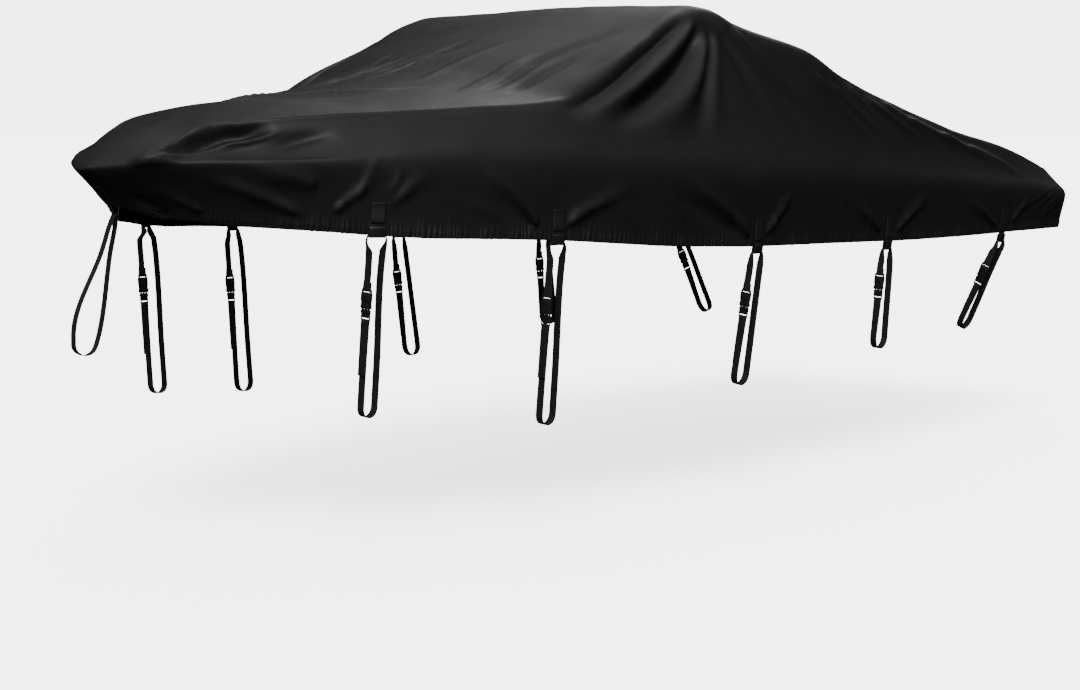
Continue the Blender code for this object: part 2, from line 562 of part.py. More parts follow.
def strap_line(link, strap, outboard):
    """The strap's webbing: from the buckle up over the link's ring, down round its low end and up through the plug.

    Returns the line, the way its width runs, its widths, and the buckle's frame.
    """
    bow = Vector((-1, 0, 0))
    top = link @ Vector((0, 0, RING_LOW))
    low = Vector((top.x, top.y - outboard.y * strap.inboard, strap.low_z))
    slope = (low - top) / (top.z - low.z)

    def leg(z, forward):
        share = (top.z - z) / (top.z - low.z)
        return top + slope * (top.z - z) + bow * (LEG_SPREAD + (strap.spread - LEG_SPREAD) * share) * forward

    buckle = frame_at(leg(strap.buckle_z, 1), bow, -slope)

    def at(z, out):
        return buckle @ Vector((0, out, z))

    forward = 1 if (link.to_3x3() @ Vector((1, 0, 0))).x < 0 else -1
    hoop = [(0.0415, -0.048), (0.0400, -0.027), (0.0350, -0.0185), (0.0200, -0.0165), (0.0, -0.0165)]
    hoop += [(-x, z) for x, z in reversed(hoop[:-1])]
    turn = [(0.0, 0.0055), (-0.0042, 0.0035), (-0.0055, 0.0), (-0.0042, -0.0035), (0.0, -0.0055)]
    start = [at(BUCKLE_TOP + 0.027, -0.0055)] + [at(BUCKLE_TOP - 0.0065 + z, out) for z, out in reversed(turn)]
    start += [at(BUCKLE_TOP + 0.010, 0.0045), at(BUCKLE_TOP + 0.045, 0.0)]
    start += [leg(top.z - TWISTED_BY, 1)]
    points = start + [link @ Vector((forward * x, 0, z)) for x, z in hoop]
    through = link.to_3x3() @ Vector((0, 1 if outboard.y > 0 else -1, 0))
    over = buckle.to_3x3() @ Vector((1, 0, 0))
    across = [over] * len(start) + [through] * len(hoop)
    narrow = [0.028, 0.018] + [GATHERED_WIDTH] * 5 + [0.018, 0.028]
    widths = [WEB_WIDTH] * len(start) + narrow

    bend_top = strap.low_z + strap.spread
    room = strap.buckle_z + PLUG_LOW - 0.035 - bend_top
    turned = [leg(top.z - TWISTED_BY, -1), leg(bend_top + 0.5 * room, -1), leg(bend_top + 0.03, -1)]
    turned += [leg(bend_top - strap.spread * math.sin(a), -math.cos(a)) for a in np.radians(range(0, 181, 30))]
    turned += [leg(bend_top + 0.03, 1)]
    tail = min(TAIL, room - 0.015)
    end = [at(PLUG_LOW - 0.025, -0.0045)] + [at(PLUG_LOW + 0.005 - z, out) for z, out in reversed(turn)]
    end += [at(PLUG_LOW - 0.025, 0.0060), at(PLUG_LOW - 0.025 - tail, 0.0075)]
    points += turned + end
    across += [over] * (len(turned) + len(end))
    widths += [WEB_WIDTH] * (len(turned) + len(end))
    return points, across, widths, buckle


# ---- the cover and its straps -------------------------------------------------------------------------------------


def make_cover(finish, collection):
    """The cloth shell; also gives its plain form, which the tabs are placed on."""
    form, plain = folded_cloth(COLUMNS, SKIRT_RINGS, SIDE_RINGS, TOP_RINGS)
    cover = add("cover", grid_mesh("cover", form), finish, collection)
    fewer = cover.modifiers.new("fewer_faces", "DECIMATE")
    fewer.ratio = COVER_FACES_KEPT
    wall = cover.modifiers.new("cloth", "SOLIDIFY")
    wall.thickness, wall.offset = CLOTH, -1
    return plain


def hem_frame(plain, column, below_hem):
    """The frame of a link on the skirt over this column of the hem, its ring's bottom this far below the hem."""
    hem, above = Vector(plain[column, 0]), Vector(plain[column, SKIRT_RINGS // 2])
    up = (above - hem).normalized()
    along = Vector(plain[(column + 3) % len(plain), 0]) - Vector(plain[column - 3, 0])
    outwards = along.cross(up).normalized()
    if outwards.dot(Vector((-1, 0, 0)) if column == 0 else Vector((0, hem.y, 0))) < 0:
        outwards = -outwards
    return frame_at(hem + outwards * STAND_OFF - up * (below_hem + RING_LOW), outwards, up)


def add_webbing(name, mesh, finish, collection):
    wall = add(name, mesh, finish, collection).modifiers.new("webbing", "SOLIDIFY")
    wall.thickness, wall.offset, wall.use_even_offset = WEB, 0, True


def make_strap(strap, side, plain, mouldings, webbing, plastic, collection):
    """One side strap: its sewn tab, its link, its webbing and the two halves of its buckle."""
    name = ("port_" if side < 0 else "starboard_") + strap.name
    hem = plain[:, 0]
    column = int(np.argmin(np.abs(hem[:, 0] - strap.x) + 9 * (hem[:, 1] * side < 0.3)))
    link = hem_frame(plain, column, strap.below_hem)
    top = strap.length + RING_LOW
    tab = tab_ribbon("tab_" + name, link, TAB_WIDTH, 0.0038, 0.0375, top, STAND_OFF - 0.009)
    add_webbing("tab_" + name, tab, webbing, collection)
    add("link_" + name, placed(mouldings["link"], link), plastic, collection)
    points, across, widths, buckle = strap_line(link, strap, Vector((0, side, 0)))
    add_webbing("strap_" + name, ribbon("strap_" + name, points, across, widths), webbing, collection)
    add("buckle_body_" + name, placed(mouldings["body"], buckle), plastic, collection)
    add("buckle_plug_" + name, placed(mouldings["plug"], buckle), plastic, collection)


def make_bow_strap(plain, mouldings, webbing, plastic, collection):
    """The strap at the bow: a narrow tab, a wire triangle and a sewn loop of webbing with no buckle."""
    tab = hem_frame(plain, 0, 0.0)
    tab.translation += tab.to_3x3() @ Vector((0, 0.003 - STAND_OFF / 2, RING_LOW))
    gap = 0.0045
    ribbon_mesh = tab_ribbon("tab_bow", tab, BOW_TAB_WIDTH - 0.008, gap, 0, BOW_TAB_LENGTH, 0)
    add_webbing("tab_bow", ribbon_mesh, webbing, collection)
    low = Vector((BOW_LOW_X, 0, BOW_LOW_Z))
    pull = (low - tab.translation).normalized()
    ahead = Vector((0, 1, 0)).cross(pull)
    if ahead.x > 0:
        ahead = -ahead
    triangle = frame_at(tab.translation, ahead, -pull)
    add("triangle_bow", placed(mouldings["triangle"], triangle), plastic, collection)
    bar = tab.translation + pull * (TRIANGLE_HEIGHT - TRIANGLE_BAR)
    points = [bar + ahead * gap * math.cos(a) - pull * gap * math.sin(a) for a in np.radians([0, 45, 90, 135, 180])]
    points += [bar + (low - bar) * 0.3 - ahead * 0.022]
    wrap = np.radians([180, 216, 252, 288, 324, 360])
    points += [low + (ahead * math.cos(a) - pull * math.sin(a)) * BOW_LOOP_RADIUS for a in wrap]
    points += [bar + (low - bar) * 0.3 + ahead * 0.022]
    loop = ribbon("strap_bow", points, [Vector((0, 1, 0))] * len(points), [BOW_TAB_WIDTH] * len(points), closed=True)
    add_webbing("strap_bow", loop, webbing, collection)


def main():
    clear_scene()
    collection = bpy.data.collections.new("boat_cover")
    bpy.context.scene.collection.children.link(collection)
    cloth = material("cover_polyester", (0.022, 0.022, 0.024), 0.75)
    webbing = material("strap_webbing", (0.012, 0.012, 0.013), 0.60)
    plastic = material("moulded_plastic", (0.016, 0.016, 0.017), 0.40)
    plain = make_cover(cloth, collection)
    mouldings = {
        "link": link_mesh(),
        "triangle": triangle_mesh(),
        "body": buckle_body_mesh(),
        "plug": buckle_plug_mesh(),
    }
    make_bow_strap(plain, mouldings, webbing, plastic, collection)
    for side in (-1, 1):
        for strap in STRAPS:
            make_strap(strap, side, plain, mouldings, webbing, plastic, collection)


main()
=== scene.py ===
"""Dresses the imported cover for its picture: cloth, gathered hem, sewn tabs, webbing and moulded buckles.

Metres, +Z up, the bow towards -X, the stern towards +X and port towards -Y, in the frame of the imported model.
The cloth is worked out as ribs that climb from the hem over the shoulder and the crest to the middle line.
A fold is placed on it by a station (metres round the shoulder from the bow end, + to port) and a place up
the rib.
"""

from __future__ import annotations

import logging
import math
from collections.abc import Sequence
from dataclasses import dataclass, replace
from enum import Enum

import bmesh
import bpy
import numpy as np
from mathutils import Matrix, Vector


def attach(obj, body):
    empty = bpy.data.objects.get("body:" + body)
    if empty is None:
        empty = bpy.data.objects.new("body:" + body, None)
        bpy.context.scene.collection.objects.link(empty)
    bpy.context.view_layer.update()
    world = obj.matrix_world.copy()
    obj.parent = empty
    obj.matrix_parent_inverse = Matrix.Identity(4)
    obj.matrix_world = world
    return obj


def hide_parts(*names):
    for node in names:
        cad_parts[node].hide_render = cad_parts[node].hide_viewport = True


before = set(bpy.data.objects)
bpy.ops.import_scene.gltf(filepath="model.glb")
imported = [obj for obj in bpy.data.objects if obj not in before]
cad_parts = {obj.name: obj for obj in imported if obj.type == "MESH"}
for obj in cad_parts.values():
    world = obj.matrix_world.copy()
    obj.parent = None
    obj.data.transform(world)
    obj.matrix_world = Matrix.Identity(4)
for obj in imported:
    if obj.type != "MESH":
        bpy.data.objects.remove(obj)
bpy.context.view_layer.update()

LOG = logging.getLogger("cover")
THROUGH = 0.10
ROOT = "root"
Triple = tuple[float, float, float]
CLOTH_SLOT, WEBBING_SLOT, PLASTIC_SLOT = "cover_polyester", "strap_webbing", "moulded_plastic"


class Side(Enum):
    """A side of the cover, as the sign of its Y."""

    PORT = -1
    STARBOARD = 1

    @property
    def label(self) -> str:
        """The side's name in the names of nodes and pieces."""
        return self.name.lower()


# ---- shader recipes --------------------------------------------------------------------------------------


class Wire:
    """One output of a shader node, which takes part in sums as a number does."""

    def __init__(self, tree: bpy.types.NodeTree, socket: bpy.types.NodeSocket) -> None:
        """Wraps a socket.

        Args:
            tree: The node tree that the socket is in.
            socket: The output socket.
        """
        self.tree = tree
        self.socket = socket

    def math(self, operation: str, *others: Wire | float) -> Wire:
        """Adds one Math node.

        Args:
            operation: The Math node's operation.
            others: What comes after this value.

        Returns:
            The result's wire.
        """
        node = self.tree.nodes.new("ShaderNodeMath")
        node.operation = operation
        for place, value in zip(node.inputs, (self, *others)):
            if isinstance(value, Wire):
                self.tree.links.new(value.socket, place)
            else:
                place.default_value = value
        return Wire(self.tree, node.outputs[0])

    def __add__(self, other: Wire | float) -> Wire:
        """This plus other."""
        return self.math("ADD", other)

    __radd__ = __add__

    def __mul__(self, other: Wire | float) -> Wire:
        """This times other."""
        return self.math("MULTIPLY", other)

    __rmul__ = __mul__

    def sine(self) -> Wire:
        """The sine of this."""
        return self.math("SINE")

    def near(self, centre: float, reach: float) -> Wire:
        """One where this is within reach of centre, and nothing elsewhere."""
        return self.math("COMPARE", centre, reach)

    def clamped(self) -> Wire:
        """This, kept from 0 to 1."""
        return self.math("MINIMUM", 1.0).math("MAXIMUM", 0.0)


class Recipe:
    """A material being made, on its Principled shader."""

    def __init__(self, name: str, roughness: float, specular: float) -> None:
        """Starts a material.

        Args:
            name: The material's name.
            roughness: The shader's own roughness, where nothing is linked to it.
            specular: The strength of the plain reflection.
        """
        self.material = bpy.data.materials.new(name)
        self.material.use_nodes = True
        self.tree = self.material.node_tree
        self.shader = self.tree.nodes["Principled BSDF"]
        self.shader.inputs["Roughness"].default_value = roughness
        self.shader.inputs["Specular IOR Level"].default_value = specular

    def node(self, kind: str, settings: dict | None = None, output: str | int = 0, **sockets: object) -> Wire:
        """Adds one node.

        Args:
            kind: The node's type, without ShaderNode.
            settings: The node's own settings, set first.
            output: Which output to give back.
            sockets: Values or wires by socket name, with _ for a space.

        Returns:
            The wire of the chosen output.
        """
        node = self.tree.nodes.new("ShaderNode" + kind)
        for key, value in (settings or {}).items():
            setattr(node, key, value)
        for key, value in sockets.items():
            place = node.inputs[key.replace("_", " ")]
            if isinstance(value, Wire):
                self.tree.links.new(value.socket, place)
            else:
                place.default_value = value
        return Wire(self.tree, node.outputs[output])

    def parts(self, vector: Wire) -> tuple[Wire, Wire, Wire]:
        """The three numbers of a vector."""
        return tuple(self.node("SeparateXYZ", output=axis, Vector=vector) for axis in "XYZ")

    def place(self) -> Wire:
        """The point on the piece, in metres."""
        return self.node("TexCoord", output="Object")

    def along(self, name: str) -> tuple[Wire, Wire]:
        """The two numbers of a UV map, in metres.

        Args:
            name: The UV map's name.

        Returns:
            Its two numbers.
        """
        return self.parts(self.node("UVMap", {"uv_map": name}))[:2]

    def noise(self, point: Wire, scale: float, detail: float = 3.0, stretch: tuple = (1.0, 1.0, 1.0)) -> Wire:
        """Soft noise from 0 to 1.

        Args:
            point: Where it is read.
            scale: Its lumps to the metre.
            detail: Its octaves.
            stretch: A scale for each axis.

        Returns:
            The noise.
        """
        if stretch != (1.0, 1.0, 1.0):
            point = self.node("Mapping", Vector=point, Scale=stretch)
        return self.node("TexNoise", {"noise_dimensions": "3D"}, Vector=point, Scale=scale, Detail=detail)

    def colour(self, dark: Sequence[float], light: Sequence[float], share: Wire) -> None:
        """Links the base colour.

        Args:
            dark: The colour where share is 0.
            light: The colour where share is 1.
            share: The mix.
        """
        node = self.tree.nodes.new("ShaderNodeMix")
        node.data_type = "RGBA"
        for number, colour in ((6, dark), (7, light)):
            node.inputs[number].default_value = (*colour, 1.0)
        self.tree.links.new(share.socket, node.inputs[0])
        self.tree.links.new(node.outputs[2], self.shader.inputs["Base Color"])

    def glow(self, strength: float) -> None:
        """Lets the surface give off an even white light of its own.

        Args:
            strength: How bright it is.
        """
        self.shader.inputs["Emission Color"].default_value = (1.0, 1.0, 1.0, 1.0)
        self.shader.inputs["Emission Strength"].default_value = strength

    def bump(self, height: Wire, distance: float, strength: float, under: Wire | None = None) -> Wire:
        """Adds one layer of relief.

        Args:
            height: The relief, from 0 to 1.
            distance: Its depth in metres.
            strength: How much of it counts.
            under: The layer below.

        Returns:
            The relief's normal.
        """
        more = {"Normal": under} if under else {}
        return self.node("Bump", Height=height, Distance=distance, Strength=strength, **more)

    def finish(self, roughness: Wire | None = None, normal: Wire | None = None) -> bpy.types.Material:
        """Links what varies and gives the material.

        Args:
            roughness: The roughness over the surface.
            normal: The relief's normal.

        Returns:
            The material.
        """
        for key, wire in (("Roughness", roughness), ("Normal", normal)):
            if wire:
                self.tree.links.new(wire.socket, self.shader.inputs[key])
        return self.material


@dataclass(frozen=True)
class WovenCloth:
    """Coated woven polyester, with a UV map in metres: round the hem, and up the rib."""

    name: str = "cover_polyester"
    dark: tuple[float, float, float] = (0.0028, 0.0028, 0.0030)
    light: tuple[float, float, float] = (0.0045, 0.0045, 0.0047)
    roughness: float = 0.48
    dulled: float = 0.10
    specular: float = 0.06
    thread: float = 0.0016
    weave_depth: float = 0.0003
    crease_depth: float = 0.010
    uv: str = "cloth"

    def recipe(self) -> Recipe:
        """The start of the material."""
        return Recipe(self.name, self.roughness, self.specular)

    def weave(self, round_hem: Wire, up_rib: Wire) -> Wire:
        """A plain weave, from 0 to 1.

        Args:
            round_hem: Metres round the hem.
            up_rib: Metres up the rib.

        Returns:
            Its relief.
        """
        pitch = math.tau / self.thread
        return (round_hem * pitch).sine() * (up_rib * pitch).sine() * 0.5 + 0.5

    def mottle(self, recipe: Recipe, place: Wire) -> Wire:
        """How light the dye is: large soft patches and uneven threads."""
        return recipe.noise(place, 3.0, 5.0) * 0.7 + recipe.noise(place, 260.0, 2.0) * 0.3

    def dullness(self, recipe: Recipe, place: Wire) -> Wire:
        """The roughness, which wanders a little."""
        return recipe.noise(place, 14.0, 3.0) * self.dulled + (self.roughness - self.dulled / 2)

    def material(self) -> bpy.types.Material:
        """The material: mottled black, a plain weave, and the small creases of cloth that has been folded.

        Returns:
            The material.
        """
        recipe = self.recipe()
        place = recipe.place()
        recipe.colour(self.dark, self.light, self.mottle(recipe, place).clamped())
        creases = recipe.noise(place, 7.0, 4.0, (1.0, 1.6, 2.2))
        normal = recipe.bump(creases, self.crease_depth, 0.10)
        normal = recipe.bump(self.weave(*recipe.along(self.uv)), self.weave_depth, 0.30, normal)
        return recipe.finish(self.dullness(recipe, place), normal)


@dataclass(frozen=True)
class HemCloth(WovenCloth):
    """The same cloth at the hem, with its rows of stitches."""

    name: str = "cover_polyester_hem"
    rows: tuple[float, float] = (0.031, 0.026)
    row_reach: float = 0.0009
    stitch: float = 0.0042
    stitch_depth: float = 0.0006

    def material(self) -> bpy.types.Material:
        """The material: the weave, and two stitched rows that hold the elastic in.

        Returns:
            The material.
        """
        recipe = self.recipe()
        place = recipe.place()
        round_hem, up_rib = recipe.along(self.uv)
        dash = ((round_hem * (math.tau / self.stitch)).sine() * 3.0).clamped()
        upper, lower = (up_rib.near(row, self.row_reach) for row in self.rows)
        stitches = (upper + lower) * dash
        recipe.colour(self.dark, self.light, (self.mottle(recipe, place) + stitches * 0.3).clamped())
        normal = recipe.bump(self.weave(round_hem, up_rib), self.weave_depth, 0.30)
        normal = recipe.bump(stitches, self.stitch_depth, 0.5, normal)
        return recipe.finish(self.dullness(recipe, place), normal)


@dataclass(frozen=True)
class WovenWebbing:
    """Ribbed strap webbing, with a UV map in metres: along it, and across it."""

    name: str = "strap_webbing"
    dark: tuple[float, float, float] = (0.0018, 0.0018, 0.0020)
    light: tuple[float, float, float] = (0.0042, 0.0042, 0.0045)
    rib: float = 0.0022
    cord: float = 0.0025
    wave: float = 0.0075
    wave_height: float = 0.0006
    relief: float = 0.0005
    uv: str = "webbing"

    def material(self) -> bpy.types.Material:
        """The material: small wavy ribs across, fine cords along, and a dull sheen that wanders.

        Returns:
            The material.
        """
        recipe = Recipe(self.name, 0.62, specular=0.08)
        along, across = recipe.along(self.uv)
        waved = (across * (math.tau / self.wave)).sine() * self.wave_height + along
        ribs = (waved * (math.tau / self.rib)).sine() * 0.5 + 0.5
        cords = (across * (math.tau / self.cord)).sine() * 0.5 + 0.5
        mottle = recipe.noise(recipe.place(), 40.0, 4.0)
        recipe.colour(self.dark, self.light, (ribs * 0.35 + mottle * 0.65).clamped())
        normal = recipe.bump(ribs * 0.7 + cords * 0.3, self.relief, 0.55)
        return recipe.finish(mottle * 0.14 + 0.54, normal)


@dataclass(frozen=True)
class MouldedPlastic:
    """Black moulded plastic with a fine spark-worn grain."""

    name: str = "moulded_plastic"
    dark: tuple[float, float, float] = (0.0025, 0.0025, 0.0027)
    light: tuple[float, float, float] = (0.0050, 0.0050, 0.0053)
    grain_depth: float = 0.0002

    def material(self) -> bpy.types.Material:
        """The material: near black, a fine grain, and a soft gloss that dulls in patches.

        Returns:
            The material.
        """
        recipe = Recipe(self.name, 0.38, specular=0.10)
        place = recipe.place()
        grain = recipe.noise(place, 2200.0, 2.0)
        cloud = recipe.noise(place, 60.0, 3.0)
        recipe.colour(self.dark, self.light, cloud)
        return recipe.finish(cloud * 0.20 + 0.28, recipe.bump(grain, self.grain_depth, 0.35))


@dataclass(frozen=True)
class PaleFloor:
    """The pale matte floor of the studio."""

    name: str = "studio_floor"
    colour: tuple[float, float, float] = (0.80, 0.80, 0.80)
    glow: float = 2.4

    def material(self) -> bpy.types.Material:
        """The material: an even pale grey, hardly mottled, lit from within so that it meets the wall.

        Returns:
            The material.
        """
        recipe = Recipe(self.name, 0.85, specular=0.2)
        darker = tuple(0.985 * part for part in self.colour)
        recipe.colour(darker, self.colour, recipe.noise(recipe.place(), 0.8, 2.0))
        recipe.glow(self.glow)
        return recipe.finish()


# ---- the cloth's form ------------------------------------------------------------------------------------


@dataclass(frozen=True)
class Section:
    """One cross-section of the taut cloth.

    Heights of the hem, of the shoulder where the skirt ends, of the crest and of the middle line, the crest's
    place as a share of the half beam, how far the cloth hangs between shoulder and crest, and how much higher
    the starboard crest is than the port one.
    """

    x: float
    hem_z: float
    shoulder_z: float
    crest_share: float
    crest_z: float
    middle_z: float
    sag: float
    starboard_up: float


def bowed(share: np.ndarray, start: float, middle: float, end: float) -> np.ndarray:
    """A bow through three values.

    Args:
        share: Where along it, from 0 to 1.
        start: Its value at 0.
        middle: Its value at a half.
        end: Its value at 1.

    Returns:
        Its values.
    """
    left = 1 - share
    return left * (1 - 2 * share) * start + 4 * share * left * middle + share * (2 * share - 1) * end


@dataclass(frozen=True)
class Fold:
    """A fold, from its tight end along its middle to where it fades.

    Stations are s0, s1 and s2, places up the rib r0, r1 and r2 (hem 0, shoulder 1, crest 2, middle line 3),
    then its half width, how far it stands out, and the shares of its length over which it rises and fades.
    """

    s0: float
    r0: float
    s1: float
    r1: float
    s2: float
    r2: float
    width: float
    height: float
    rise: float = 0.12
    fade: float = 0.55

    def moved(self, by: float, share: float) -> Fold:
        """The same fold a little further from the bow, at a share of its height.

        Args:
            by: How far its tight end and middle move.
            share: The share of its height.

        Returns:
            The fold.
        """
        return replace(self, s0=self.s0 + by, s1=self.s1 + by, height=self.height * share)

    def line(self, form: CoverForm, taut: np.ndarray, side: Side, share: np.ndarray) -> np.ndarray:
        """The fold's line on the plain cloth.

        Args:
            form: The cover's form.
            taut: The plain cloth.
            side: The side that it lies on.
            share: Where along it, from 0 to 1.

        Returns:
            Its points.
        """
        station = -side.value * bowed(share, self.s0, self.s1, self.s2)
        place = bowed(share, self.r0, self.r1, self.r2)
        return np.array([form.point(taut, *at) for at in zip(station, place)])


@dataclass(frozen=True)
class TopFold(Fold):
    """A fold inboard of the shoulder, where the stations are its x and the places its y, seen from above."""

    def line(self, form: CoverForm, taut: np.ndarray, side: Side, share: np.ndarray) -> np.ndarray:
        """The fold's line on the plain cloth.

        Args:
            form: The cover's form, for its heights.
            taut: Not needed here.
            side: Not needed here.
            share: Where along it, from 0 to 1.

        Returns:
            Its points.
        """
        x, y = bowed(share, self.s0, self.s1, self.s2), bowed(share, self.r0, self.r1, self.r2)
        return np.stack([x, y, form.height(x, y)], 1)


@dataclass(frozen=True)
class SmoothLine:
    """A smooth curve through points that doesn't overshoot between them."""

    xs: np.ndarray
    ys: np.ndarray

    def slopes(self) -> np.ndarray:
        """The curve's slope at each of its points.

        Returns:
            The slopes.
        """
        run = np.diff(self.xs)
        rise = np.diff(self.ys) / run
        slope = np.concatenate([rise[:1], np.zeros(len(self.xs) - 2), rise[-1:]])
        for k in range(1, len(self.xs) - 1):
            if rise[k - 1] * rise[k] > 0:
                before, after = run[k - 1] + 2 * run[k], 2 * run[k - 1] + run[k]
                slope[k] = (before + after) / (before / rise[k - 1] + after / rise[k])
        return slope

    def __call__(self, x: np.ndarray | float) -> np.ndarray:
        """The curve's height.

        Args:
            x: Where.

        Returns:
            The height there.
        """
        slope, run = self.slopes(), np.diff(self.xs)
        x = np.clip(x, self.xs[0], self.xs[-1])
        k = np.clip(np.searchsorted(self.xs, x, side="right") - 1, 0, len(run) - 1)
        t = (x - self.xs[k]) / run[k]
        start = self.ys[k] * (1 + 2 * t) * (1 - t) ** 2 + slope[k] * run[k] * t * (1 - t) ** 2
        end = self.ys[k + 1] * t**2 * (3 - 2 * t) - slope[k + 1] * run[k] * t**2 * (1 - t)
        return start + end


SECTIONS = (
    # x, hem_z, shoulder_z, crest_share, crest_z, middle_z, sag, starboard_up
    Section(-2.945, -0.890, -0.740, 0.900, -0.740, -0.740, 0.000, -0.020),
    Section(-2.87, -0.918, -0.727, 0.890, -0.710, -0.698, 0.005, -0.010),
    Section(-2.81, -0.935, -0.715, 0.870, -0.680, -0.655, 0.010, -0.015),
    Section(-2.69, -0.952, -0.702, 0.660, -0.632, -0.595, 0.030, -0.010),
    Section(-2.56, -0.970, -0.694, 0.600, -0.572, -0.560, 0.060, -0.015),
    Section(-2.33, -0.990, -0.692, 0.715, -0.540, -0.497, 0.070, -0.005),
    Section(-2.10, -1.012, -0.698, 0.785, -0.528, -0.465, 0.040, 0.000),
    Section(-1.86, -1.030, -0.707, 0.820, -0.515, -0.450, 0.010, 0.000),
    Section(-1.50, -1.045, -0.720, 0.840, -0.497, -0.400, 0.000, 0.000),
    Section(-1.13, -1.065, -0.732, 0.858, -0.474, -0.315, 0.000, 0.003),
    Section(-0.87, -1.085, -0.739, 0.850, -0.390, -0.235, 0.030, 0.015),
    Section(-0.47, -1.113, -0.750, 0.800, -0.196, -0.115, 0.080, -0.012),
    Section(-0.10, -1.128, -0.767, 0.755, -0.034, -0.015, 0.110, -0.012),
    Section(0.00, -1.133, -0.775, 0.748, -0.009, 0.003, 0.110, -0.012),
    Section(0.10, -1.136, -0.780, 0.765, -0.018, -0.020, 0.110, -0.010),
    Section(0.25, -1.140, -0.786, 0.790, -0.078, -0.070, 0.100, 0.000),
    Section(0.80, -1.150, -0.808, 0.845, -0.190, -0.230, 0.090, 0.000),
    Section(1.10, -1.157, -0.821, 0.855, -0.306, -0.330, 0.080, 0.000),
    Section(1.50, -1.166, -0.840, 0.865, -0.418, -0.435, 0.070, 0.000),
    Section(2.20, -1.170, -0.877, 0.870, -0.572, -0.600, 0.050, 0.000),
    Section(2.90, -1.168, -0.920, 0.870, -0.694, -0.730, 0.030, 0.000),
    Section(3.25, -1.168, -0.945, 0.870, -0.775, -0.815, 0.015, 0.000),
    Section(3.56, -1.168, -0.970, 0.870, -0.880, -0.880, 0.000, 0.000),
)

PEAK_FOLDS = (
    # from the port end of the peak: the swags towards the bow, then the rays down to the shoulder
    Fold(2.98, 2.00, 2.68, 2.02, 2.34, 2.04, 0.050, 0.014),
    Fold(3.26, 1.98, 2.74, 1.95, 2.18, 1.88, 0.050, -0.050, 0.25, 0.25),
    Fold(3.28, 1.95, 2.88, 1.85, 2.37, 1.77, 0.040, 0.030, 0.20, 0.40),
    Fold(3.30, 1.93, 3.04, 1.77, 2.40, 1.60, 0.050, -0.050, 0.25, 0.25),
    Fold(3.34, 1.92, 3.15, 1.68, 2.66, 1.40, 0.050, 0.030, 0.20, 0.45),
    Fold(3.37, 1.92, 3.23, 1.65, 2.94, 1.25, 0.050, -0.022),
    Fold(3.40, 1.92, 3.31, 1.63, 3.11, 1.25, 0.040, 0.014),
    Fold(3.40, 1.93, 3.56, 1.72, 3.74, 1.42, 0.050, -0.020),
    Fold(3.41, 1.93, 3.59, 1.77, 3.91, 1.40, 0.035, 0.020),
    Fold(3.45, 1.93, 3.73, 1.73, 3.96, 1.43, 0.035, -0.014),
    Fold(3.50, 1.95, 3.77, 1.78, 4.16, 1.55, 0.040, 0.018),
)
STERN_FOLDS = (
    # the slant folds off the crest, towards the stern
    Fold(4.10, 1.87, 4.39, 1.67, 4.71, 1.40, 0.030, 0.022),
    Fold(4.22, 1.87, 4.58, 1.70, 4.85, 1.47, 0.030, 0.022),
    Fold(4.40, 1.92, 4.69, 1.75, 5.01, 1.53, 0.030, 0.020),
    Fold(4.57, 1.90, 4.94, 1.78, 5.26, 1.60, 0.030, 0.022),
    Fold(4.74, 1.92, 5.09, 1.82, 5.49, 1.58, 0.030, 0.019),
    Fold(4.98, 1.88, 5.39, 1.80, 5.77, 1.63, 0.030, 0.022),
    Fold(5.33, 1.85, 5.75, 1.72, 6.15, 1.45, 0.030, 0.019),
    Fold(5.65, 1.80, 6.03, 1.63, 6.30, 1.22, 0.030, 0.014),
)
SKIRT_FOLDS = (
    # the fans on the skirt, each drawn to a tab
    Fold(1.03, 0.27, 1.13, 0.55, 1.24, 0.87, 0.022, 0.012, 0.06),
    Fold(1.19, 0.17, 1.32, 0.55, 1.46, 0.88, 0.026, 0.015, 0.06),
    Fold(1.99, 0.18, 1.82, 0.65, 1.69, 0.92, 0.028, 0.020, 0.06),
    Fold(1.97, 0.15, 1.85, 0.37, 1.72, 0.72, 0.040, -0.010),
    Fold(2.11, 0.18, 2.30, 0.48, 2.58, 0.77, 0.030, 0.020, 0.06),
    Fold(3.39, 0.13, 3.05, 0.60, 2.79, 0.90, 0.032, 0.020, 0.06),
    Fold(3.30, 0.15, 2.95, 0.47, 2.74, 0.67, 0.040, -0.012),
    Fold(3.51, 0.17, 3.63, 0.50, 3.72, 0.80, 0.026, 0.018, 0.06),
    Fold(4.59, 0.17, 4.41, 0.42, 4.24, 0.67, 0.024, 0.016, 0.06),
    Fold(4.75, 0.18, 4.92, 0.50, 5.08, 0.80, 0.026, 0.016, 0.06),
    Fold(5.89, 0.13, 5.67, 0.47, 5.46, 0.77, 0.024, 0.016, 0.06),
    Fold(6.07, 0.25, 6.18, 0.57, 6.28, 0.85, 0.024, 0.014, 0.06),
)
BOW_FOLDS = (
    # the bow skirt
    Fold(0.96, 0.60, 0.82, 0.73, 0.60, 0.80, 0.045, 0.012),
    Fold(0.92, 0.18, 0.66, 0.53, 0.46, 0.72, 0.032, 0.014),
    Fold(0.51, 0.15, 0.38, 0.37, 0.25, 0.57, 0.030, 0.008),
    Fold(0.37, 0.07, 0.24, 0.25, 0.13, 0.43, 0.030, -0.008),
)
POCKET_FOLDS = (
    # on port alone: the taut fold under the bow crest, and the hollows above and below it
    Fold(0.95, 1.89, 0.53, 1.52, 0.18, 1.15, 0.018, 0.026, 0.25, 0.15),
    Fold(0.90, 1.93, 0.62, 1.76, 0.30, 1.50, 0.042, -0.056, 0.30, 0.35),
    Fold(1.13, 1.74, 0.96, 1.74, 0.78, 1.55, 0.036, -0.022, 0.45, 0.45),
)
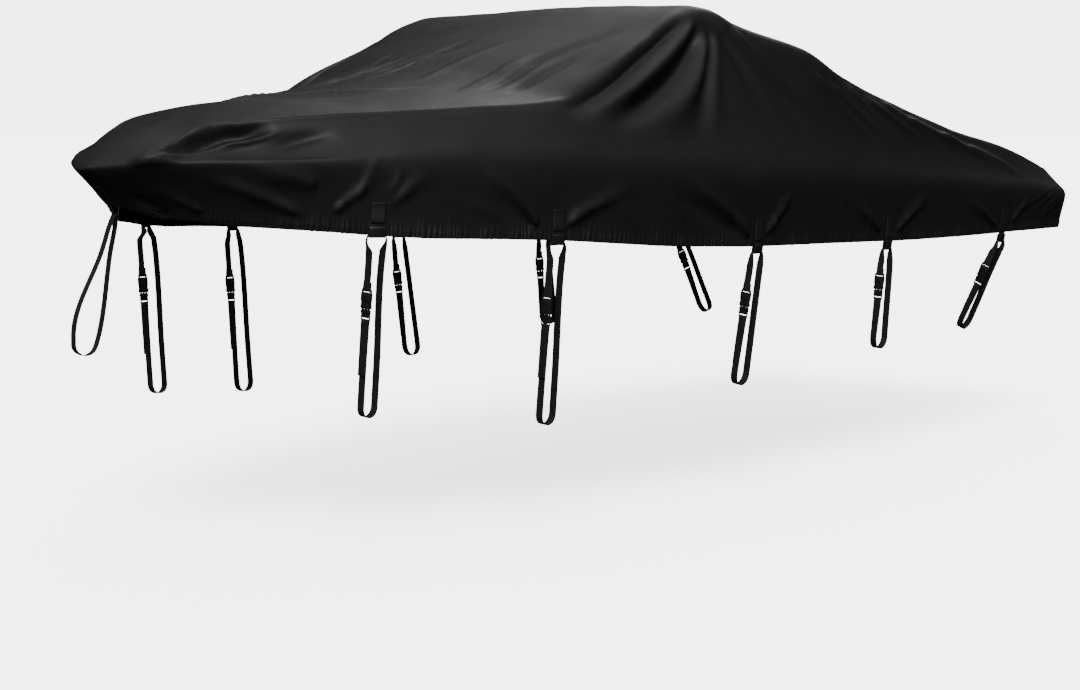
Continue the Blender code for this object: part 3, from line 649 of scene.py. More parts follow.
THIN_FOLDS = (
    # the thin gathers over and beside the tabs
    Fold(1.31, 0.85, 1.27, 0.57, 1.21, 0.30, 0.022, 0.006),
    Fold(1.12, 0.43, 1.18, 0.85, 1.25, 1.25, 0.022, 0.005),
    Fold(1.79, 0.23, 1.70, 0.38, 1.58, 0.52, 0.024, 0.007),
    Fold(2.02, 0.48, 1.98, 0.65, 1.95, 0.82, 0.016, 0.005),
    Fold(2.05, 0.47, 2.04, 0.68, 2.02, 0.93, 0.016, 0.005),
    Fold(2.13, 0.18, 2.17, 0.28, 2.26, 0.35, 0.022, 0.006),
    Fold(2.58, 0.15, 2.49, 0.40, 2.38, 0.67, 0.024, 0.005),
    Fold(2.87, 0.30, 2.78, 0.55, 2.69, 0.80, 0.024, 0.006),
    Fold(3.18, 0.50, 3.08, 0.72, 2.98, 0.93, 0.018, 0.006),
    Fold(3.34, 0.63, 3.29, 0.82, 3.23, 0.98, 0.016, 0.005),
    Fold(3.44, 0.43, 3.40, 0.67, 3.34, 0.92, 0.016, 0.006),
    Fold(3.57, 0.18, 3.56, 0.45, 3.55, 0.75, 0.016, 0.006),
    Fold(4.15, 0.42, 4.20, 0.62, 4.22, 0.83, 0.020, 0.004),
    Fold(4.62, 0.55, 4.57, 0.77, 4.50, 0.98, 0.018, 0.007),
    Fold(4.76, 0.42, 4.71, 0.77, 4.65, 1.00, 0.016, 0.006),
    Fold(5.94, 0.52, 5.91, 0.75, 5.91, 1.18, 0.016, 0.006),
    Fold(6.07, 0.38, 6.09, 0.68, 6.11, 0.90, 0.016, 0.006),
    # the fine slant gathers at the stern's lower corner
    Fold(6.64, 0.65, 6.51, 0.42, 6.37, 0.18, 0.014, 0.006),
    Fold(6.65, 0.87, 6.50, 0.55, 6.32, 0.27, 0.014, 0.006),
    Fold(6.58, 0.97, 6.43, 0.63, 6.24, 0.40, 0.014, 0.006),
    Fold(6.53, 1.10, 6.34, 0.73, 6.18, 0.53, 0.014, 0.006),
)
CREST_FOLDS = (
    # the taut edge along the crest, towards the bow
    Fold(0.30, 1.97, 1.40, 2.00, 2.40, 2.00, 0.018, 0.009, 0.15, 0.10),
)
FRONT_FOLDS = (
    # the soft bend over the bow, and the long creases on the face in front of the peak, which aren't mirrored
    TopFold(-2.25, 0.04, -1.84, -0.12, -1.35, -0.44, 0.024, 0.026, 0.30, 0.40),
    TopFold(-1.28, -0.04, -0.88, -0.01, -0.52, -0.05, 0.018, -0.014, 0.30),
    TopFold(-1.26, 0.08, -0.98, 0.05, -0.76, -0.07, 0.016, -0.012, 0.30),
    TopFold(-1.41, 0.02, -1.01, -0.04, -0.73, -0.18, 0.016, 0.012, 0.30),
    TopFold(-1.26, 0.55, -0.65, 0.83, -0.21, 0.81, 0.030, -0.027, 0.30),
    TopFold(-1.53, 0.21, -1.18, 0.18, -0.70, 0.14, 0.020, 0.015, 0.30),
    TopFold(-1.31, -0.65, -0.92, -0.60, -0.65, -0.58, 0.020, -0.017, 0.30),
    TopFold(-1.41, -0.59, -1.02, -0.53, -0.73, -0.51, 0.020, 0.014, 0.30),
    TopFold(-1.41, 0.16, -1.02, 0.26, -0.60, 0.33, 0.014, -0.010, 0.30),
    TopFold(-1.28, -0.74, -0.90, -0.71, -0.59, -0.76, 0.022, -0.017, 0.30),
    TopFold(-1.37, -0.30, -0.92, -0.26, -0.57, -0.33, 0.020, 0.010, 0.30),
    TopFold(-0.95, -0.59, -0.60, -0.63, -0.29, -0.76, 0.030, -0.014, 0.30),
)


@dataclass(frozen=True)
class StrapRow:
    """One pair of side straps.

    Where its tab hangs, how far its link reaches below the hem, the length of tab and link together, the
    lowest point and how far inboard that is, the height of its buckle, and half the distance between its legs
    below.
    """

    name: str
    x: float
    below_hem: float
    length: float
    low_z: float
    inboard: float
    buckle_z: float
    spread: float


STRAPS = (
    StrapRow("1", -2.02, 0.007, 0.148, -1.770, 0.063, -1.281, 0.041),
    StrapRow("2", -1.21, 0.020, 0.155, -1.860, 0.065, -1.341, 0.046),
    StrapRow("3", 0.10, 0.035, 0.165, -1.800, 0.095, -1.387, 0.052),
    StrapRow("4", 1.33, 0.045, 0.175, -1.720, 0.042, -1.376, 0.058),
    StrapRow("5", 2.63, 0.055, 0.185, -1.720, 0.230, -1.389, 0.055),
)


def resampled(points: np.ndarray, at: np.ndarray, axis: int, closed: bool) -> np.ndarray:
    """Points between the points of a grid, on smooth curves through them.

    Args:
        points: The grid.
        at: Where, as fractional indices.
        axis: The grid's axis that the indices count.
        closed: Whether that axis comes back round to its start.

    Returns:
        The finer grid.
    """
    count = points.shape[axis]
    base = np.floor(at).astype(int)
    t = at - base
    weights = (
        (-t + 2 * t**2 - t**3) / 2,
        (2 - 5 * t**2 + 3 * t**3) / 2,
        (t + 4 * t**2 - 3 * t**3) / 2,
        (t**3 - t**2) / 2,
    )
    shape = [1] * points.ndim
    shape[axis] = -1
    total = np.zeros(1)
    for offset, weight in zip((-1, 0, 1, 2), weights):
        index = (base + offset) % count if closed else np.clip(base + offset, 0, count - 1)
        total = total + np.take(points, index, axis=axis) * weight.reshape(shape)
    return total


@dataclass(frozen=True)
class CoverForm:
    """The cover's cloth as ribs, from the same sizes as its solid."""

    bow_x: float = -2.945
    stern_x: float = 3.56
    half_width: float = 1.19
    bow_run: float = 3.00
    bow_fullness: float = 1.25
    side_taper: float = 0.005
    corner_radius: float = 0.20
    bow_rake: float = 0.12
    hem_tuck: float = 0.05
    bow_tuck: float = 0.66
    spine_from: float = -2.45
    spine_to: float = 3.00
    columns: int = 600
    skirt_rings: int = 16
    side_rings: int = 16
    top_rings: int = 18
    shoulder_rounding: int = 11
    crest_rounding: int = 2
    starboard_shift: float = 0.05
    starboard_share: float = 0.85

    def line(self, column: str) -> SmoothLine:
        """The smooth line of one column of the sections.

        Args:
            column: The column's name.

        Returns:
            Its curve over x.
        """
        xs, values = ([getattr(row, name) for row in SECTIONS] for name in ("x", column))
        return SmoothLine(np.array(xs), np.array(values))

    @property
    def bow_end_x(self) -> float:
        """Where the bow's curve meets the straighter side."""
        return self.bow_x + self.bow_run

    @property
    def corner_x(self) -> float:
        """Where the stern's corner starts."""
        return self.stern_x - self.corner_radius

    @property
    def corner_y(self) -> float:
        """How far out the centre of the stern's corner lies."""
        return self.half_width - self.side_taper * (self.corner_x - self.bow_end_x) ** 2 - self.corner_radius

    def half_beam(self, x: np.ndarray) -> np.ndarray:
        """Half the width at the shoulder.

        Args:
            x: Where, along the cover.

        Returns:
            The half widths.
        """
        x = np.clip(x, self.bow_x, self.stern_x)
        ahead = np.clip(1 - (x - self.bow_x) / self.bow_run, 0, 1)
        beam = self.half_width * (1 - ahead**2) ** (self.bow_fullness / 2)
        aft = np.clip(x - self.bow_end_x, 0, self.corner_x - self.bow_end_x)
        past = np.clip(x - self.corner_x, 0, self.corner_radius)
        corner = self.corner_y + np.sqrt(self.corner_radius**2 - past**2)
        return np.where(x > self.corner_x, corner, beam - self.side_taper * aft**2)

    def height(self, x: np.ndarray, y: np.ndarray) -> np.ndarray:
        """Height of the taut cloth inboard of its shoulder.

        Args:
            x: Where, along the cover.
            y: Where, across it.

        Returns:
            The heights.
        """
        share = np.clip(np.abs(y) / np.maximum(self.half_beam(x), 1e-6), 0, 1)
        crest, crest_z, shoulder_z = (self.line(name)(x) for name in ("crest_share", "crest_z", "shoulder_z"))
        middle_z, sag = self.line("middle_z")(x), self.line("sag")(x)
        up = np.clip((1 - share) / (1 - crest), 0, 1)
        out = np.clip(share / crest, 0, 1)
        side = shoulder_z + (crest_z - shoulder_z) * up - 4 * sag * up * (1 - up)
        top = middle_z + (crest_z - middle_z) * out**2
        lift = self.line("starboard_up")(x) * np.where(y > 0, np.where(share > crest, up, out), 0)
        return np.where(share > crest, side, top) + lift

    def plan(self) -> tuple[np.ndarray, np.ndarray]:
        """The shoulder line in plan, from the bow end along port, round the stern and back.

        Returns:
            Its points, and its inward normals.
        """
        turn = np.linspace(0, math.pi / 2, 400)
        bow_x = self.bow_x + self.bow_run * (1 - np.cos(turn))
        bow = np.stack([bow_x, -self.half_width * np.sin(turn) ** self.bow_fullness], 1)
        aft = np.linspace(self.bow_end_x, self.corner_x, 200)[1:]
        side = np.stack([aft, -self.half_width + self.side_taper * (aft - self.bow_end_x) ** 2], 1)
        bend = turn[1::4]
        corner_x = self.corner_x + self.corner_radius * np.sin(bend)
        corner = np.stack([corner_x, -self.corner_y - self.corner_radius * np.cos(bend)], 1)
        across = np.linspace(-self.corner_y, 0, 60)[1:]
        port = np.concatenate([bow, side, corner, np.stack([np.full(len(across), self.stern_x), across], 1)])
        along = np.concatenate([[0], np.cumsum(np.hypot(*np.diff(port, axis=0).T))])
        wanted = np.linspace(0, along[-1], self.columns // 2 + 1)
        port = np.stack([np.interp(wanted, along, port[:, axis]) for axis in (0, 1)], 1)
        plan = np.concatenate([port, port[-2:0:-1] * [1, -1]])
        ahead = np.roll(plan, -1, axis=0) - np.roll(plan, 1, axis=0)
        return plan, np.stack([-ahead[:, 1], ahead[:, 0]], 1) / np.hypot(*ahead.T)[:, None]

    def girth(self) -> float:
        """The length of the shoulder line, all round."""
        lengths = np.hypot(*np.diff(self.plan()[0], axis=0).T)
        return float(lengths.sum()) * self.columns / (self.columns - 1)

    def places(self) -> np.ndarray:
        """Where each ring lies up the rib.

        Returns:
            Its place: hem 0, shoulder 1, crest 2, middle line 3.
        """
        skirt = np.linspace(0, 1, self.skirt_rings + 1)[:-1]
        side = np.linspace(1, 2, self.side_rings + 1)
        return np.concatenate([skirt, side, np.linspace(2, 3, self.top_rings + 1)[1:]])

    def taut(self) -> np.ndarray:
        """The plain cloth without folds, its turns rounded.

        Returns:
            Its points: columns by rings by three.
        """
        plan, inward = self.plan()
        x, y = plan[:, 0], plan[:, 1]
        ahead = np.clip(1 - (x - self.bow_x) / self.bow_run, 0, 1)
        hem = plan + self.hem_tuck * inward
        hem = np.stack([hem[:, 0] + self.bow_rake * ahead**5, hem[:, 1] * (1 - self.bow_tuck * ahead**8)], 1)
        hem_z, shoulder_z, crest = (self.line(name)(x) for name in ("hem_z", "shoulder_z", "crest_share"))
        rings = []
        for up in np.linspace(0, 1, self.skirt_rings + 1)[:-1]:
            rings.append(np.column_stack([hem + (plan - hem) * up, hem_z + (shoulder_z - hem_z) * up]))
        spine = np.clip(x, self.spine_from, self.spine_to)
        inboard = [(1 - crest) * up for up in np.linspace(0, 1, self.side_rings + 1)]
        inboard += [1 - crest + crest * up for up in np.linspace(0, 1, self.top_rings + 1)[1:]]
        for share in inboard:
            at_x, at_y = x + (spine - x) * share, y * (1 - share)
            rings.append(np.column_stack([at_x, at_y, self.height(at_x, at_y)]))
        form = np.stack(rings, 1)
        self.soften(form, 1.0, 0.35, self.shoulder_rounding)
        self.soften(form, 2.0, 0.20, self.crest_rounding)
        return form

    def soften(self, form: np.ndarray, centre: float, reach: float, passes: int) -> None:
        """Rounds the cloth where it turns over.

        Args:
            form: The ribs, changed in place.
            centre: The place up the rib.
            reach: How far round it, in places.
            passes: How often.
        """
        nearby = np.exp(-(((self.places() - centre) / reach) ** 2))[None, 1:-1, None]
        for _ in range(passes):
            between = (form[:, :-2] + form[:, 2:]) / 2
            form[:, 1:-1] += 0.5 * nearby * (between - form[:, 1:-1])

    def point(self, taut: np.ndarray, station: float, place: float) -> np.ndarray:
        """A point of the plain cloth.

        Args:
            taut: The plain cloth.
            station: Metres round the shoulder from the bow end, + to port.
            place: The place up the rib.

        Returns:
            The point.
        """
        places = self.places()
        across, up = station / self.girth() * self.columns, np.interp(place, places, np.arange(len(places)))
        column, ring = math.floor(across), min(math.floor(up), len(places) - 2)
        u, v = across - column, up - ring
        ribs = taut[column % self.columns], taut[(column + 1) % self.columns]
        near, far = (rib[ring] * (1 - v) + rib[ring + 1] * v for rib in ribs)
        return near * (1 - u) + far * u

    def push(self, taut: np.ndarray, form: np.ndarray, fold: Fold, side: Side, steps: int = 14) -> np.ndarray:
        """How far one fold moves the cloth out: round across, soft at both ends.

        Args:
            taut: The plain cloth that the fold is placed on.
            form: The finer ribs to move.
            fold: The fold.
            side: Port as it is, or starboard for its mirror image.
            steps: Straight pieces in the fold's line.

        Returns:
            The push at each point of form.
        """
        line = fold.line(self, taut, side, np.linspace(0, 1, steps + 1))
        push = np.zeros(form.shape[:2])
        low, high = line.min(axis=0) - 3 * fold.width, line.max(axis=0) + 3 * fold.width
        inside = np.all((form > low) & (form < high), axis=2)
        points = form[inside]
        nearest, along = np.full(len(points), 9.0), np.zeros(len(points))
        for k in range(steps):
            step = line[k + 1] - line[k]
            share = np.clip((points - line[k]) @ step / max(step @ step, 1e-12), 0, 1)
            gap = np.linalg.norm(points - line[k] - share[:, None] * step, axis=1)
            closer = gap < nearest
            nearest, along = np.where(closer, gap, nearest), np.where(closer, (k + share) / steps, along)
        strength = np.clip(along / fold.rise, 0, 1) * np.clip((1 - along) / fold.fade, 0, 1)
        strength = strength * strength * (3 - 2 * strength)
        reach = fold.width * (0.55 + 0.6 * along)
        push[inside] = fold.height * strength * np.exp(-((nearest / reach) ** 2))
        return push

    def seat(self, form: np.ndarray, side: Side) -> np.ndarray:
        """One under the tabs, on the lower skirt of this side, and nothing above."""
        low = np.clip((-0.86 - 0.02 * form[..., 0] - form[..., 2]) / 0.04, 0, 1)
        return low * (form[..., 1] * side.value > 0)

    def folded(self, taut: np.ndarray, form: np.ndarray) -> np.ndarray:
        """The ribs with their folds raised.

        Args:
            taut: The plain cloth that the folds are placed on.
            form: Its finer ribs.

        Returns:
            How far each point of form moves out.
        """
        push = np.zeros(form.shape[:2])
        for fold in (*PEAK_FOLDS, *STERN_FOLDS, *SKIRT_FOLDS, *BOW_FOLDS, *THIN_FOLDS, *CREST_FOLDS):
            push += self.push(taut, form, fold, Side.PORT)
            mirrored = fold.moved(self.starboard_shift, self.starboard_share)
            push += self.push(taut, form, mirrored, Side.STARBOARD)
        for fold in (*POCKET_FOLDS, *FRONT_FOLDS):
            push += self.push(taut, form, fold, Side.PORT)
        for row in STRAPS:
            for side in Side:
                push *= 1 - np.exp(-((np.abs(form[..., 0] - row.x) / 0.06) ** 4)) * self.seat(form, side)
        push *= 1 - np.exp(-((form[..., 1] / 0.06) ** 4)) * (form[..., 2] < -0.76)
        return push


def outward(form: np.ndarray) -> np.ndarray:
    """Unit normals of a ring of ribs.

    Args:
        form: The ribs.

    Returns:
        The normals, which point out of the cover.
    """
    round_hem = np.roll(form, -1, axis=0) - np.roll(form, 1, axis=0)
    normal = np.cross(round_hem, np.gradient(form, axis=1))
    size = np.linalg.norm(normal, axis=2, keepdims=True)
    return np.where(size > 1e-9, normal / np.maximum(size, 1e-9), [0.0, 0.0, 1.0])


def ripples(form: np.ndarray, lengths: Sequence[float], slope: float, seed: int) -> np.ndarray:
    """Slack in taut cloth: soft waves of several lengths that run every way.

    Args:
        form: The ribs.
        lengths: The waves' lengths.
        slope: Their height over their length.
        seed: For their directions.

    Returns:
        The push at each point.
    """
    chance = np.random.default_rng(seed)
    push = np.zeros(form.shape[:2])
    for length in lengths:
        for _ in range(5):
            way = chance.normal(size=3)
            way *= math.tau / (length * chance.uniform(0.7, 1.4) * np.linalg.norm(way))
            push += slope * length * np.sin(form @ way + chance.uniform(0, math.tau))
    return push


# ---- pieces ----------------------------------------------------------------------------------------------


def piece(
    name: str, mesh: bpy.types.Mesh, finish: bpy.types.Material, slot: str, *nodes: str
) -> bpy.types.Object:
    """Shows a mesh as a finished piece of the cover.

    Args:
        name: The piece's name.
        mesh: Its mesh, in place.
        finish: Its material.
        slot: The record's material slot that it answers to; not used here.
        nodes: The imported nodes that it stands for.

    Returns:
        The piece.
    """
    mesh.materials.clear()
    mesh.materials.append(finish)
    mesh.shade_smooth()
    made = bpy.data.objects.new(name, mesh)
    bpy.context.scene.collection.objects.link(made)
    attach(made, ROOT)
    if nodes:
        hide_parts(*nodes)
    LOG.info("%s: %d faces, for %s", name, len(mesh.polygons), ", ".join(nodes) or "no node")
    return made


def to_mesh(name: str, bm: bmesh.types.BMesh) -> bpy.types.Mesh:
    """A mesh from a bmesh, which is freed.

    Args:
        name: The mesh's name.
        bm: The bmesh.

    Returns:
        The mesh.
    """
    mesh = bpy.data.meshes.new(name)
    bm.to_mesh(mesh)
    bm.free()
    return mesh


def woven_grid(name: str, form: np.ndarray, uv: np.ndarray, layer: str, merge: float) -> bpy.types.Mesh:
    """A grid of points as a mesh, with a UV map.

    Args:
        name: The mesh's name.
        form: The points: columns by rows by three.
        uv: Each point's place in the cloth, in metres, with one column more where the grid comes back round.
        layer: The UV map's name.
        merge: Points closer than this become one.

    Returns:
        The mesh.
    """
    columns, rows = form.shape[:2]
    across = len(uv) - 1
    bm = bmesh.new()
    bmesh.ops.create_grid(bm, x_segments=across, y_segments=rows - 1, size=0.5)
    bm.verts.index_update()
    store = bm.loops.layers.uv.new(layer)
    places = [(round((v.co.x + 0.5) * across), round((v.co.y + 0.5) * (rows - 1))) for v in bm.verts]
    for face in bm.faces:
        for loop in face.loops:
            loop[store].uv = uv[places[loop.vert.index]]
    for vertex, (column, row) in zip(bm.verts, places):
        vertex.co = form[column % columns, row]
    bmesh.ops.remove_doubles(bm, verts=bm.verts, dist=merge)
    return to_mesh(name, bm)


@dataclass(frozen=True)
class Cover:
    """The cloth: one sheet from its middle line down, and the gathered hem that ends it."""

    form: CoverForm
    cloth: WovenCloth
    hem_cloth: HemCloth
    hem_columns: int = 3960
    close_to: float = 1.4
    cut_place: float = 0.355
    hem_place: float = 0.42
    lap: float = 0.0008
    casing: float = 0.030
    ruffle: float = 0.022
    ruffle_depth: float = 0.0085
    flat: tuple[float, float] = (3.6, 7.0)
    area: float = 21.0
    seed: int = 7

    def rows(self) -> np.ndarray:
        """The places up the rib of the main sheet's rows, closer where its folds are small."""
        spans = ((self.cut_place, 1.0, 12), (1.0, 1.6, 15), (1.6, 2.12, 27), (2.12, 3.0, 44))
        return np.unique(np.concatenate([np.linspace(*span) for span in spans]))

    def stations(self) -> np.ndarray:
        """Where the main sheet's columns lie, closer round the bow.

        Returns:
            Metres round the shoulder.
        """
        girth, close = self.form.girth(), self.close_to
        near, far = np.linspace(0, close, 140, endpoint=False), np.linspace(close, girth / 2, 353)
        port = np.concatenate([near, far])
        return np.concatenate([port, girth - port[-2:0:-1]])

    def slack(self, form: np.ndarray) -> np.ndarray:
        """The soft unevenness that taut cloth keeps between its folds."""
        return ripples(form, (0.9, 0.45, 0.22), 0.0011, self.seed)

    def sheet_form(self, taut: np.ndarray) -> np.ndarray:
        """The main sheet's ribs, folded.

        Args:
            taut: The plain cloth.

        Returns:
            The ribs: columns by rows by three.
        """
        rings = np.interp(self.rows(), self.form.places(), np.arange(len(self.form.places())))
        around = self.stations() / self.form.girth() * self.form.columns
        form = resampled(resampled(taut, around, 0, True), rings, 1, False)
        push = self.form.folded(taut, form) + self.slack(form)
        form = form + outward(form) * push[..., None]
        middle = form[:, -1]
        form[:, -1] = (middle + np.roll(middle[::-1], 1, axis=0)) / 2
        return form

    def gathers(self, stations: np.ndarray) -> tuple[np.ndarray, np.ndarray]:
        """The hem's ruffles round the cover, each of its own width and depth.

        Args:
            stations: Metres round the hem, from 0 to the girth.

        Returns:
            The ruffles' profile from 0 in a valley to 1 on a ridge, and how far up each one runs.
        """
        chance = np.random.default_rng(self.seed + 1)
        count = round(stations[-1] / self.ruffle)
        widths = chance.uniform(0.40, 1.60, count)
        valleys = np.concatenate([[0], np.cumsum(widths)]) * stations[-1] / widths.sum()
        phase = np.interp(stations, valleys, np.arange(count + 1))
        depths = np.append(chance.uniform(0.25, 1.05, count) ** 1.4, 0.6)
        reaches = np.append(chance.uniform(0.2, 1.0, count) ** 2, 0.5)
        depth, reach = (np.interp(phase, np.arange(count + 1), values) for values in (depths, reaches))
        return np.abs(np.sin(math.pi * phase)) ** 0.8 * depth, reach

    def hem_form(self, taut: np.ndarray) -> tuple[np.ndarray, np.ndarray]:
        """The gathered hem: up its inner side, round its edge, and up its outer side on to the main sheet.

        Args:
            taut: The plain cloth.

        Returns:
            The ribs, and their places in the cloth in metres.
        """
        around = np.arange(self.hem_columns) / self.hem_columns * self.form.columns
        ribs = resampled(taut[:, :8], around, 0, True)
        hem, rise = ribs[:, 0], (ribs[:, 7] - ribs[:, 0]) / 7
        ring = np.linalg.norm(rise, axis=1)
        up = rise / ring[:, None]
        top = self.hem_place * self.form.skirt_rings * ring
        low = [0.0, 0.004, 0.011, 0.019, 0.027, 0.035, 0.043, 0.049, 0.052, 0.055, 0.058, 0.062, 0.068]
        rows = [np.full(self.hem_columns, height) for height in low]
        rows += [low[-1] + (top - low[-1]) * share for share in (0.25, 0.5, 0.75, 1.0)]
        climb = np.stack(rows, 1)
        outer = hem[:, None] + up[:, None] * climb[..., None]
        out = outward(outer)
        push = self.form.folded(taut, outer) + self.slack(outer) + self.lap

        stations = np.linspace(0, self.form.girth(), self.hem_columns, endpoint=False)
        profile, reach = self.gathers(np.append(stations, self.form.girth()))
        profile, reach = profile[:-1, None], reach[:-1, None]
        above = np.clip((climb - self.casing) / np.maximum(top[:, None] - self.casing, 1e-4), 0, 1)
        fade = np.clip(1 - above / (0.25 + 0.75 * reach), 0, 1) ** 1.5 * 0.8
        fade = np.where(climb < self.casing, 1.0, fade)
        ruffle = self.ruffle_depth * profile * fade
        outer = outer + out * (push + ruffle)[..., None]

        # the hem's inner side and rolled edge, as metres out from the outer side's edge and up from it
        roll = [(-0.0045, 0.042), (-0.0060, 0.020), (-0.0062, 0.004), (-0.0048, -0.0012), (-0.0024, -0.0022)]
        inner = [outer[:, 0] + out[:, 0] * away + up * height for away, height in roll]
        form = np.concatenate([np.stack(inner, 1), outer], 1)
        turned_under = np.tile([-0.050, -0.028, -0.012, -0.006, -0.003], (self.hem_columns, 1))
        height = np.concatenate([turned_under, climb], 1)
        return form, np.stack([np.broadcast_to(stations[:, None], height.shape), height], 2)

    def closed_uv(self, uv: np.ndarray) -> np.ndarray:
        """The same places with the first column again at the end, one girth on."""
        return np.concatenate([uv, uv[:1] + [self.form.girth(), 0]])

    def build(self, taut: np.ndarray) -> None:
        """Args:
            taut: The plain cloth.
        """
        form = self.sheet_form(taut)
        stations = self.stations()
        steps = np.linalg.norm(np.diff(form, axis=1), axis=2)
        climb = np.concatenate([np.zeros((len(stations), 1)), np.cumsum(steps, axis=1)], 1) + 0.12
        uv = self.closed_uv(np.stack([np.broadcast_to(stations[:, None], climb.shape), climb], 2))
        mesh = woven_grid("cover_cloth", form, uv, self.cloth.uv, 1e-5)
        sheet = piece("cover_cloth", mesh, self.cloth.material(), CLOTH_SLOT, "cover")
        form, uv = self.hem_form(taut)
        mesh = woven_grid("cover_hem", form, self.closed_uv(uv), self.hem_cloth.uv, 1e-6)
        hem = piece("cover_hem", mesh, self.hem_cloth.material(), CLOTH_SLOT)


# ---- mouldings -------------------------------------------------------------------------------------------


def slab(size: Triple, centre: Triple, radius: float = 0.0, steps: int = 4) -> bmesh.types.BMesh:
    """A flat bar with round corners, seen from the front.

    Args:
        size: Its width along X, depth along Y and height along Z.
        centre: Its middle.
        radius: Of its corners.
        steps: Flats round each corner.

    Returns:
        The bar.
    """
    bm = bmesh.new()
    bmesh.ops.create_cube(bm, size=1.0)
    bmesh.ops.scale(bm, vec=size, verts=bm.verts)
    corners = [edge for edge in bm.edges if abs(edge.verts[0].co.y - edge.verts[1].co.y) > size[1] / 2]
    if radius:
        bevel = {"offset": radius, "segments": steps, "affect": "EDGES", "profile": 0.5, "material": -1}
        bmesh.ops.bevel(bm, geom=corners, **bevel)
    bmesh.ops.translate(bm, vec=centre, verts=bm.verts)
    return bm


def outline_plate(points: Sequence[tuple[float, float]], depth: float) -> bmesh.types.BMesh:
    """A plate from its outline in X and Z, thick along Y.

    Args:
        points: The outline.
        depth: The plate's thickness.

    Returns:
        The plate.
    """
    bm = bmesh.new()
    face = bm.faces.new([bm.verts.new((x, -depth / 2, z)) for x, z in points])
    raised = bmesh.ops.extrude_face_region(bm, geom=[face])["geom"]
    moved = [part for part in raised if isinstance(part, bmesh.types.BMVert)]
    bmesh.ops.translate(bm, vec=(0, depth, 0), verts=moved)
    bmesh.ops.recalc_face_normals(bm, faces=bm.faces)
    return bm


def moulded(
    name: str, body: bmesh.types.BMesh, steps: Sequence[tuple[str, bmesh.types.BMesh]], rim: float
) -> bpy.types.Mesh:
    """A moulding: a body with others joined to it or cut out of it, and its edges eased.

    Args:
        name: The moulding's name.
        body: What it starts from.
        steps: Pairs of a Boolean operation and its bmesh, in turn.
        rim: How far its edges are eased.

    Returns:
        The moulding's mesh.
    """
    made = bpy.data.objects.new(name, to_mesh(name, body))
    bpy.context.scene.collection.objects.link(made)
    tools = []
    for operation, other in steps:
        tool = bpy.data.objects.new("tool", to_mesh("tool", other))
        bpy.context.scene.collection.objects.link(tool)
        tools.append(tool)
        cut = made.modifiers.new(operation, "BOOLEAN")
        cut.operation, cut.solver, cut.object = operation, "EXACT", tool
    ease = made.modifiers.new("rim", "BEVEL")
    ease.width, ease.segments, ease.limit_method, ease.angle_limit = rim, 2, "ANGLE", math.radians(35)
    ready = made.evaluated_get(bpy.context.evaluated_depsgraph_get())
    mesh = bpy.data.meshes.new_from_object(ready)
    mesh.name = name
    for old in (made, *tools):
        bpy.data.objects.remove(old, do_unlink=True)
    return mesh


def placed(mesh: bpy.types.Mesh, frame_matrix: Matrix) -> bpy.types.Mesh:
    """A copy of a moulding, moved into place.

    Args:
        mesh: The moulding.
        frame_matrix: Its frame.

    Returns:
        The copy.
    """
    copy = mesh.copy()
    copy.transform(frame_matrix)
    return copy


def frame_at(origin: Vector, outwards: Vector, up: Vector) -> Matrix:
    """A frame to place a piece in.

    Args:
        origin: Its origin.
        outwards: The way of its Y axis.
        up: Roughly the way of its Z axis.

    Returns:
        The frame, with X across from the other two.
    """
    y = outwards.normalized()
    x = y.cross(up).normalized()
    matrix = Matrix((x, y, x.cross(y))).transposed().to_4x4()
    matrix.translation = origin
    return matrix


@dataclass(frozen=True)
class Link:
    """The moulded link between a tab and its strap: a plate with a slot, and a ring below it."""

    width: float = 0.068
    ring_low: float = -0.030
    ring_high: float = 0.020
    top: float = 0.045
    ring_depth: float = 0.018
    wall: float = 0.0025
    plate: float = 0.004
    slot_z: float = 0.0335
    slot_width: float = 0.0605
    slot_height: float = 0.007
    rim: float = 0.0007

    def mesh(self) -> bpy.types.Mesh:
        """The link: width along X, thickness along Y, height along Z.

        Returns:
            Its mesh.
        """
        middle, height = (self.ring_low + self.ring_high) / 2, self.ring_high - self.ring_low
        ring = slab((self.ring_depth, self.width, height), (0, 0, middle), 0.008, steps=6)
        inside = (self.ring_depth - 2 * self.wall, THROUGH, height - 2 * self.wall)
        hole = slab(inside, (0, 0, middle), 0.005)
        for bm in (ring, hole):
            bmesh.ops.rotate(bm, matrix=Matrix.Rotation(math.radians(90), 3, "Z"), verts=bm.verts)
        tall = self.top - self.ring_high + 0.001
        plate = slab((self.width, self.plate, tall), (0, 0, self.top - tall / 2), 0.004)
        slot = slab((self.slot_width, THROUGH, self.slot_height), (0, 0, self.slot_z))
        lip = slab((self.width, self.plate + 0.003, 0.004), (0, 0, self.ring_high + 0.0035))
        steps = [("DIFFERENCE", hole), ("UNION", plate), ("UNION", lip), ("DIFFERENCE", slot)]
        return moulded("link", ring, steps, self.rim)


